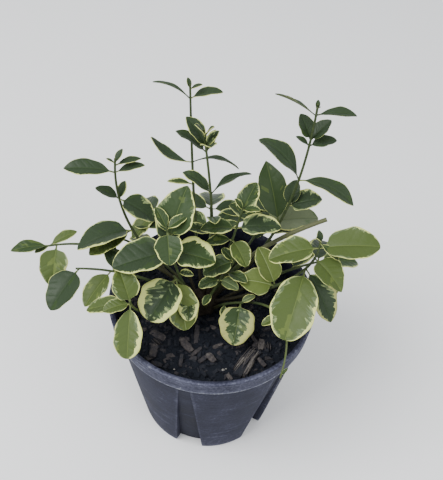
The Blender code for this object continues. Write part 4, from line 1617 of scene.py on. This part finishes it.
@dataclass
class PottingBark:
    """The fill's top: crumbs, chips and frayed bits of bark."""

    top: float = 136.0 * MM
    radius: float = 83.2 * MM
    under: float = 12.0 * MM
    under_step: float = 1.5 * MM
    rings: int = 60
    spokes: int = 180
    rough: float = 1.6 * MM
    coarse_scale: float = 70.0
    fine_scale: float = 230.0
    fine_share: float = 0.6
    ground_tone: float = 0.10
    bare_below: float = 0.2
    fibre_bowed: float = 0.5
    fibre_sunk: float = 2.2 * MM
    slab_rise: float = 1.5 * MM
    slab_stations: int = 7
    slab_sides: int = 6
    slab_wide: float = 0.55
    slab_thick: float = 0.9
    slab_thick_share: float = 0.14
    slab_thickest: float = 1.7
    slab_end: float = 0.72
    slab_belly: float = 0.28
    broken_end: float = 0.07
    rough_flank: float = 0.02
    crumb_tone: float = 1.1
    chip_reach: float = 76.0 * MM
    chip_density: float = 90000.0
    chip_grain: float = 190.0
    chip_tilt: float = 0.5
    spread_seed: int = 4
    size_seed: int = 7
    turn_seed: int = 17
    tone_seed: int = 27
    facing_up: float = 0.3
    frayed: tuple = (
        Splinters((33.0, -53.0), -116.0, 32.0, 11.0, 26, 0.72, 1.5),
        Splinters((-44.0, -41.0), -50.0, 12.0, 6.0, 8, 0.62),
        Splinters((50.0, -36.0), -80.0, 10.0, 6.0, 5, 0.72),
    )
    slabs: tuple = (
        Slab((32.0, -54.0), -116.0, 28.0, 10.0, 0.40),
        Slab((-19.0, -41.0), -50.0, 16.0, 6.8, 0.74),
        Slab((-11.0, -29.0), -90.0, 18.0, 5.0, 0.62),
        Slab((-44.0, -33.0), -29.0, 14.0, 7.6, 0.70),
        Slab((-46.0, -49.0), -90.0, 14.0, 6.8, 0.66),
        Slab((3.0, -52.0), -46.0, 9.0, 6.0, 0.80),
        Slab((45.0, -35.0), -94.0, 10.5, 6.0, 0.84),
        Slab((39.0, -30.0), -60.0, 12.5, 3.4, 0.74),
        Slab((-22.0, -57.0), -93.0, 12.0, 3.4, 0.60),
        Slab((8.0, -39.0), 18.0, 9.0, 2.5, 0.76),
        Slab((46.0, -53.0), -51.0, 9.5, 4.2, 0.72),
        Slab((-4.0, -54.0), 45.0, 8.0, 4.2, 0.58),
        Slab((-10.0, -47.0), 48.0, 12.0, 3.4, 0.62),
        Slab((-42.0, -62.0), -18.0, 9.0, 4.6, 0.52),
        Slab((-30.0, -22.0), -46.0, 11.0, 4.2, 0.58),
        Slab((27.0, 60.0), 20.0, 13.0, 5.5, 0.64),
        Slab((-20.0, 64.0), 75.0, 11.0, 5.0, 0.58),
        Slab((62.0, 22.0), -40.0, 12.0, 5.0, 0.66),
    )
    crumbs: tuple = ((13.5, -63.2, 1.5), (16.0, -61.8, 0.9), (-27.0, -66.0, 0.8))
    chips: tuple = (
        ChipSize("Coarse spacing", 7.4, (4.0, 1.6, 0.8), (11.0, 5.0, 2.6), (0.12, 0.82), 4.5, 0.0),
        ChipSize("Middle spacing", 3.9, (2.0, 1.2, 0.8), (6.5, 3.2, 2.2), (0.08, 0.66), 3.0, 3.0),
        ChipSize("Fine spacing", 2.2, (0.8, 0.6, 0.5), (2.8, 1.8, 1.4), (0.00, 0.50), 1.6, 5.8),
    )
    draw: Random = field(default_factory=lambda: Random(5))

    def build(self) -> None:
        """Build the crumbly surface, with chips strewn over it by rule."""
        mesh = self.ground()
        for chip in self.slabs:
            self.lay(chip, mesh)
        for bit in self.frayed:
            self.fray(bit, mesh)
        for across, back, size in self.crumbs:
            self.lump(Vector((across * MM, back * MM, self.top + self.rough)), size * MM, mesh)
        piece = mesh.piece("bark_chips", BARK_FINISH)
        smooth = [mesh.tones[face[0]] < self.bare_below for face in mesh.faces]
        piece.data.polygons.foreach_set("use_smooth", smooth)
        self.strew_rule().apply(piece)
        finished(piece, ["potting_bark"])

    def ground(self) -> ToneMesh:
        """Make the rough ground under the chips, closed below.

        Returns:
            The ground's mesh, which the bits of bark are added to.
        """
        mesh = ToneMesh()
        mesh.corner(Vector((0.0, 0.0, self.top)), self.ground_tone)
        turns = [math.tau * index / self.spokes for index in range(self.spokes)]
        for ring in range(1, self.rings + 1):
            for turn in turns:
                place = around(self.radius * ring / self.rings, turn, 0.0)
                lump = noise.noise(place * self.coarse_scale)
                lump += self.fine_share * noise.noise(place * self.fine_scale)
                mesh.corner(place + Vector((0.0, 0.0, self.top + self.rough * lump)), self.ground_tone)
        for turn in turns:
            mesh.corner(around(self.radius - self.under_step, turn, self.top - self.under), self.ground_tone)
        last = mesh.corner(Vector((0.0, 0.0, self.top - self.under)), self.ground_tone)
        for index in range(self.spokes):
            after = (index + 1) % self.spokes
            mesh.faces.append((0, 1 + index, 1 + after))
            for ring in range(self.rings):
                here = 1 + ring * self.spokes
                out = here + self.spokes
                mesh.faces.append((here + index, out + index, out + after, here + after))
            low = 1 + self.rings * self.spokes
            mesh.faces.append((low + index, last, low + after))
        return mesh

    def fray(self, bit: Splinters, mesh: ToneMesh) -> None:
        """Lay a bundle of tapering fibres, each with four sides and three stations.

        Args:
            bit: The bundle's place and sizes.
            mesh: The mesh that takes it.
        """
        ahead = around(1.0, math.radians(bit.heading), 0.0)
        across = Vector((-ahead.y, ahead.x, 0.0))
        middle = Vector((bit.place[0] * MM, bit.place[1] * MM, self.top))
        for _ in range(bit.count):
            place = self.draw.uniform(-0.5, 0.5)
            start = -0.5 * self.draw.uniform(0.5, 1.0) * bit.length
            end = 0.5 * self.draw.uniform(0.3, 1.0) * bit.length
            splay = self.draw.uniform(-0.14, 0.14) + 0.15 * place
            half = self.draw.uniform(0.35, 1.1) * bit.coarse * MM
            high = self.draw.uniform(1.2, 3.2) * bit.coarse * MM
            tone = bit.tone + self.draw.uniform(-0.22, 0.22)
            first = len(mesh.corners)
            for part, slim in ((start, 0.35), (0.4 * start + 0.6 * end, 1.0), (end, 0.25)):
                share = (part - start) / (end - start)
                spine = middle + ahead * part * MM + across * (place * bit.width + splay * part) * MM
                bow = high * (0.7 + self.fibre_bowed * math.sin(math.pi * share))
                for side, lift in ((-1.0, 0.0), (1.0, 0.0), (0.6, 1.0), (-0.6, 1.0)):
                    out = side * slim * half
                    rise = bow - self.fibre_sunk * (1.0 - lift)
                    mesh.corner(spine + across * out + UP * rise, tone)
            self.wrap(mesh, first, stations=3, sides=4)

    def lay(self, chip: Slab, mesh: ToneMesh) -> None:
        """Lay one chunky chip with broken ends.

        Args:
            chip: The chip's place and sizes.
            mesh: The mesh that takes it.
        """
        ahead = around(1.0, math.radians(chip.heading), 0.0)
        across = Vector((-ahead.y, ahead.x, 0.0))
        middle = Vector((chip.place[0] * MM, chip.place[1] * MM, self.top + self.slab_rise))
        tilt = self.draw.uniform(-0.12, 0.12)
        thick = min(self.slab_thickest, self.slab_thick + self.slab_thick_share * chip.width)
        first = len(mesh.corners)
        last = self.slab_stations - 1
        for station in range(self.slab_stations):
            share = station / last - 0.5
            slim = self.slab_end + self.slab_belly * math.cos(math.pi * share)
            ragged = self.broken_end if station in (0, last) else self.rough_flank
            for side in range(self.slab_sides):
                turn = math.tau * (side + 0.5) / self.slab_sides
                reach = (share + self.draw.uniform(-ragged, ragged)) * chip.length
                out = math.cos(turn) * self.slab_wide * chip.width * slim * self.draw.uniform(0.86, 1.1)
                rise = math.sin(turn) * thick * self.draw.uniform(0.75, 1.2) + tilt * reach
                tone = chip.tone + self.draw.uniform(-0.12, 0.12)
                mesh.corner(middle + (ahead * reach + across * out + UP * rise) * MM, tone)
        self.wrap(mesh, first, self.slab_stations, self.slab_sides)

    @staticmethod
    def wrap(mesh: ToneMesh, first: int, stations: int, sides: int) -> None:
        """Skin the last corners of a mesh as a closed bar.

        Args:
            mesh: The mesh.
            first: The number of the bar's first corner.
            stations: How many rings of corners the bar has.
            sides: How many corners a ring has.
        """
        for station in range(stations - 1):
            here = first + station * sides
            for side in range(sides):
                after = (side + 1) % sides
                mesh.faces.append((here + side, here + after, here + sides + after, here + sides + side))
        last = first + (stations - 1) * sides
        mesh.faces.append(tuple(first + side for side in reversed(range(sides))))
        mesh.faces.append(tuple(last + side for side in range(sides)))

    def lump(self, middle: Vector, size: float, mesh: ToneMesh) -> None:
        """Lay one pale round crumb of eight sides.

        Args:
            middle: The crumb's middle.
            size: Its radius.
            mesh: The mesh that takes it.
        """
        first = len(mesh.corners)
        for way in ((1, 0, 0), (0, 1, 0), (-1, 0, 0), (0, -1, 0), (0, 0, 1), (0, 0, -1)):
            mesh.corner(middle + Vector(way) * size * self.draw.uniform(0.7, 1.2), self.crumb_tone)
        for side in range(4):
            after = (side + 1) % 4
            mesh.faces.append((first + side, first + after, first + 4))
            mesh.faces.append((first + after, first + side, first + 5))

    def strew_rule(self) -> GeometryRule:
        """Make the rule that strews chips of several sizes over the bare ground.

        Returns:
            The rule.
        """
        inputs = {size.spacing_name: ("NodeSocketFloat", size.spacing * MM) for size in self.chips}
        inputs["Reach"] = ("NodeSocketFloat", self.chip_reach)
        inputs["Seed"] = ("NodeSocketInt", self.spread_seed)
        rule = GeometryRule("chip_rule", inputs)
        nodes = rule.nodes
        normal = nodes.add("GeometryNodeInputNormal").outputs[0]
        up = nodes.add("ShaderNodeSeparateXYZ", None, {0: normal})
        bare = (nodes.value(up, "Z") > self.facing_up) * (nodes.named("tone") < self.bare_below)
        place = nodes.add("GeometryNodeInputPosition").outputs[0]
        flat = nodes.add("ShaderNodeVectorMath", {"operation": "MULTIPLY"}, {0: place, 1: (1.0, 1.0, 0.0)})
        out = nodes.add("ShaderNodeVectorMath", {"operation": "LENGTH"}, {0: flat.outputs[0]})
        joined = nodes.add("GeometryNodeJoinGeometry")
        nodes.feed(joined.inputs[0], rule.start.outputs["Geometry"])
        for number, size in enumerate(self.chips):
            near = nodes.value(out, "Value") < nodes.value(rule.start, "Reach") + size.farther * MM
            nodes.feed(joined.inputs[0], self.strewn(rule, size, number, near * bare))
        rule.close(joined.outputs[0], BARK_FINISH)
        return rule

    def strewn(self, rule: GeometryRule, size: ChipSize, number: int, inside: Value) -> bpy.types.NodeSocket:
        """Strew chips of one size.

        Args:
            rule: The rule that strews them.
            size: The chips' sizes.
            number: The size's number, which parts its random draws from the others'.
            inside: 1 where such chips may lie.

        Returns:
            The chips' geometry.
        """
        nodes = rule.nodes
        tilt = self.chip_tilt
        turned = (-tilt, -tilt, 0.0), (tilt, tilt, math.tau)
        spread = nodes.add("GeometryNodeDistributePointsOnFaces", {"distribute_method": "POISSON"}, {
            "Mesh": rule.start.outputs["Geometry"],
            "Selection": inside,
            "Distance Min": rule.start.outputs[size.spacing_name],
            "Density Max": self.chip_density,
            "Seed": rule.start.outputs["Seed"],
        })
        block = nodes.add("GeometryNodeMeshCube", None, {
            "Size": (1.0, 1.0, 1.0), "Vertices X": 4, "Vertices Y": 3, "Vertices Z": 2,
        })
        put = nodes.add("GeometryNodeInstanceOnPoints", None, {
            "Points": spread.outputs["Points"],
            "Instance": block.outputs["Mesh"],
            "Rotation": self.spread_of(nodes, self.turn_seed + number, *turned, 1.0),
            "Scale": self.spread_of(nodes, self.size_seed + number, size.least, size.most, MM),
        })
        drawn = {"Seed": self.tone_seed + number}
        shade = nodes.add("FunctionNodeRandomValue", {"data_type": "FLOAT"}, drawn)
        nodes.feed(shade.inputs[2], 0.0)
        nodes.feed(shade.inputs[3], 1.0)
        darkest, palest = size.tones
        pale = nodes.value(shade, 1) ** 2.0 * (palest - darkest) + darkest
        stored = nodes.add(
            "GeometryNodeStoreNamedAttribute",
            {"data_type": "FLOAT", "domain": "INSTANCE"},
            {"Geometry": put.outputs[0], "Name": "tone", "Value": pale},
        )
        real = nodes.add("GeometryNodeRealizeInstances", None, {0: stored.outputs[0]})
        bits = nodes.add("ShaderNodeTexNoise", None, {"Scale": self.chip_grain, "Detail": 2.0})
        middle = {0: bits.outputs["Color"], 1: (0.5, 0.5, 0.5)}
        centred = nodes.add("ShaderNodeVectorMath", {"operation": "SUBTRACT"}, middle)
        warp = {0: centred.outputs[0], "Scale": size.warp * MM}
        shift = nodes.add("ShaderNodeVectorMath", {"operation": "SCALE"}, warp)
        moved_in = {0: real.outputs[0], "Offset": shift.outputs[0]}
        moved = nodes.add("GeometryNodeSetPosition", None, moved_in)
        hard = {0: moved.outputs[0], "Shade Smooth": False}
        return nodes.add("GeometryNodeSetShadeSmooth", None, hard).outputs[0]

    @staticmethod
    def spread_of(nodes: Nodes, seed: int, least: tuple, most: tuple, unit: float) -> bpy.types.NodeSocket:
        """Add a random vector for each chip.

        Args:
            nodes: The rule's tree.
            seed: The seed of the draw.
            least: The vector's least parts.
            most: The vector's most parts.
            unit: The unit that both are in.

        Returns:
            The vector.
        """
        node = nodes.add("FunctionNodeRandomValue", {"data_type": "FLOAT_VECTOR"}, {"Seed": seed})
        nodes.feed(node.inputs[0], [unit * part for part in least])
        nodes.feed(node.inputs[1], [unit * part for part in most])
        return node.outputs[0]


@dataclass
class Studio:
    """The floor, the lights and the camera."""

    elevation: float = 46.94
    roll: float = 4.158
    distance: float = 0.5761
    look_at: tuple = (0.0045, 0.0, 0.2280)
    focal_pixels: float = 718.7
    sensor: float = 24.0
    nearest_seen: float = 0.01
    floor_half: float = 4.0
    lit: tuple = (0.0, 0.0, 0.2)
    sky: tuple = (0.93, 0.96, 1.0, 1.0)

    def build(self) -> None:
        """Set the stage and the camera."""
        self.floor()
        self.light("light_key", (-0.9, -0.5, 1.7), power=42.0, size=1.2)
        self.light("light_fill", (1.1, -0.9, 1.3), power=13.0, size=1.4)
        world = bpy.data.worlds.new("soft_day")
        world.use_nodes = True
        background = world.node_tree.nodes["Background"]
        background.inputs["Color"].default_value = self.sky
        background.inputs["Strength"].default_value = 1.0
        bpy.context.scene.world = world
        self.camera()

    def floor(self) -> None:
        """Lay a wide pale floor."""
        wide = self.floor_half
        corners = [(-wide, -wide, 0.0), (wide, -wide, 0.0), (wide, wide, 0.0), (-wide, wide, 0.0)]
        floor = new_piece("floor", corners, [(0, 1, 2, 3)], [FLOOR_FINISH])

    def light(self, name: str, place: tuple, power: float, size: float) -> None:
        """Hang one large soft light that faces the plant.

        Args:
            name: The light's name.
            place: Where it hangs.
            power: Its power in watts.
            size: The length of its sides.
        """
        data = bpy.data.lights.new(name, "AREA")
        data.energy = power
        data.size = size
        lamp = bpy.data.objects.new(name, data)
        lamp.location = place
        lamp.rotation_euler = (Vector(self.lit) - Vector(place)).to_track_quat("-Z", "Y").to_euler()
        bpy.context.scene.collection.objects.link(lamp)

    def camera(self) -> None:
        """Stand the camera where the photograph was taken."""
        rise = math.radians(self.elevation)
        roll = math.radians(self.roll)
        ahead = Vector((0.0, math.cos(rise), -math.sin(rise)))
        across = Vector((1.0, 0.0, 0.0))
        above = across.cross(ahead)
        right = math.cos(roll) * across + math.sin(roll) * above
        top = math.cos(roll) * above - math.sin(roll) * across
        data = bpy.data.cameras.new("camera")
        data.sensor_fit = "VERTICAL"
        data.sensor_height = self.sensor
        data.lens = self.focal_pixels * self.sensor / IMAGE_HEIGHT
        data.clip_start = self.nearest_seen
        camera = bpy.data.objects.new("camera", data)
        turn = Matrix((right, top, -ahead)).transposed().to_4x4()
        camera.matrix_world = Matrix.Translation(Vector(self.look_at) - self.distance * ahead) @ turn
        bpy.context.scene.collection.objects.link(camera)
        bpy.context.scene.camera = camera


def main() -> None:
    """Build every piece."""
    logging.basicConfig(level=logging.INFO, format="%(name)s %(message)s")
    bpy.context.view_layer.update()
    Studio().build()
    Pot().build()
    PottingBark().build()
    wood = Wood()
    wood.build()
    Foliage(wood).build()


if __name__ == "__main__":
    main()
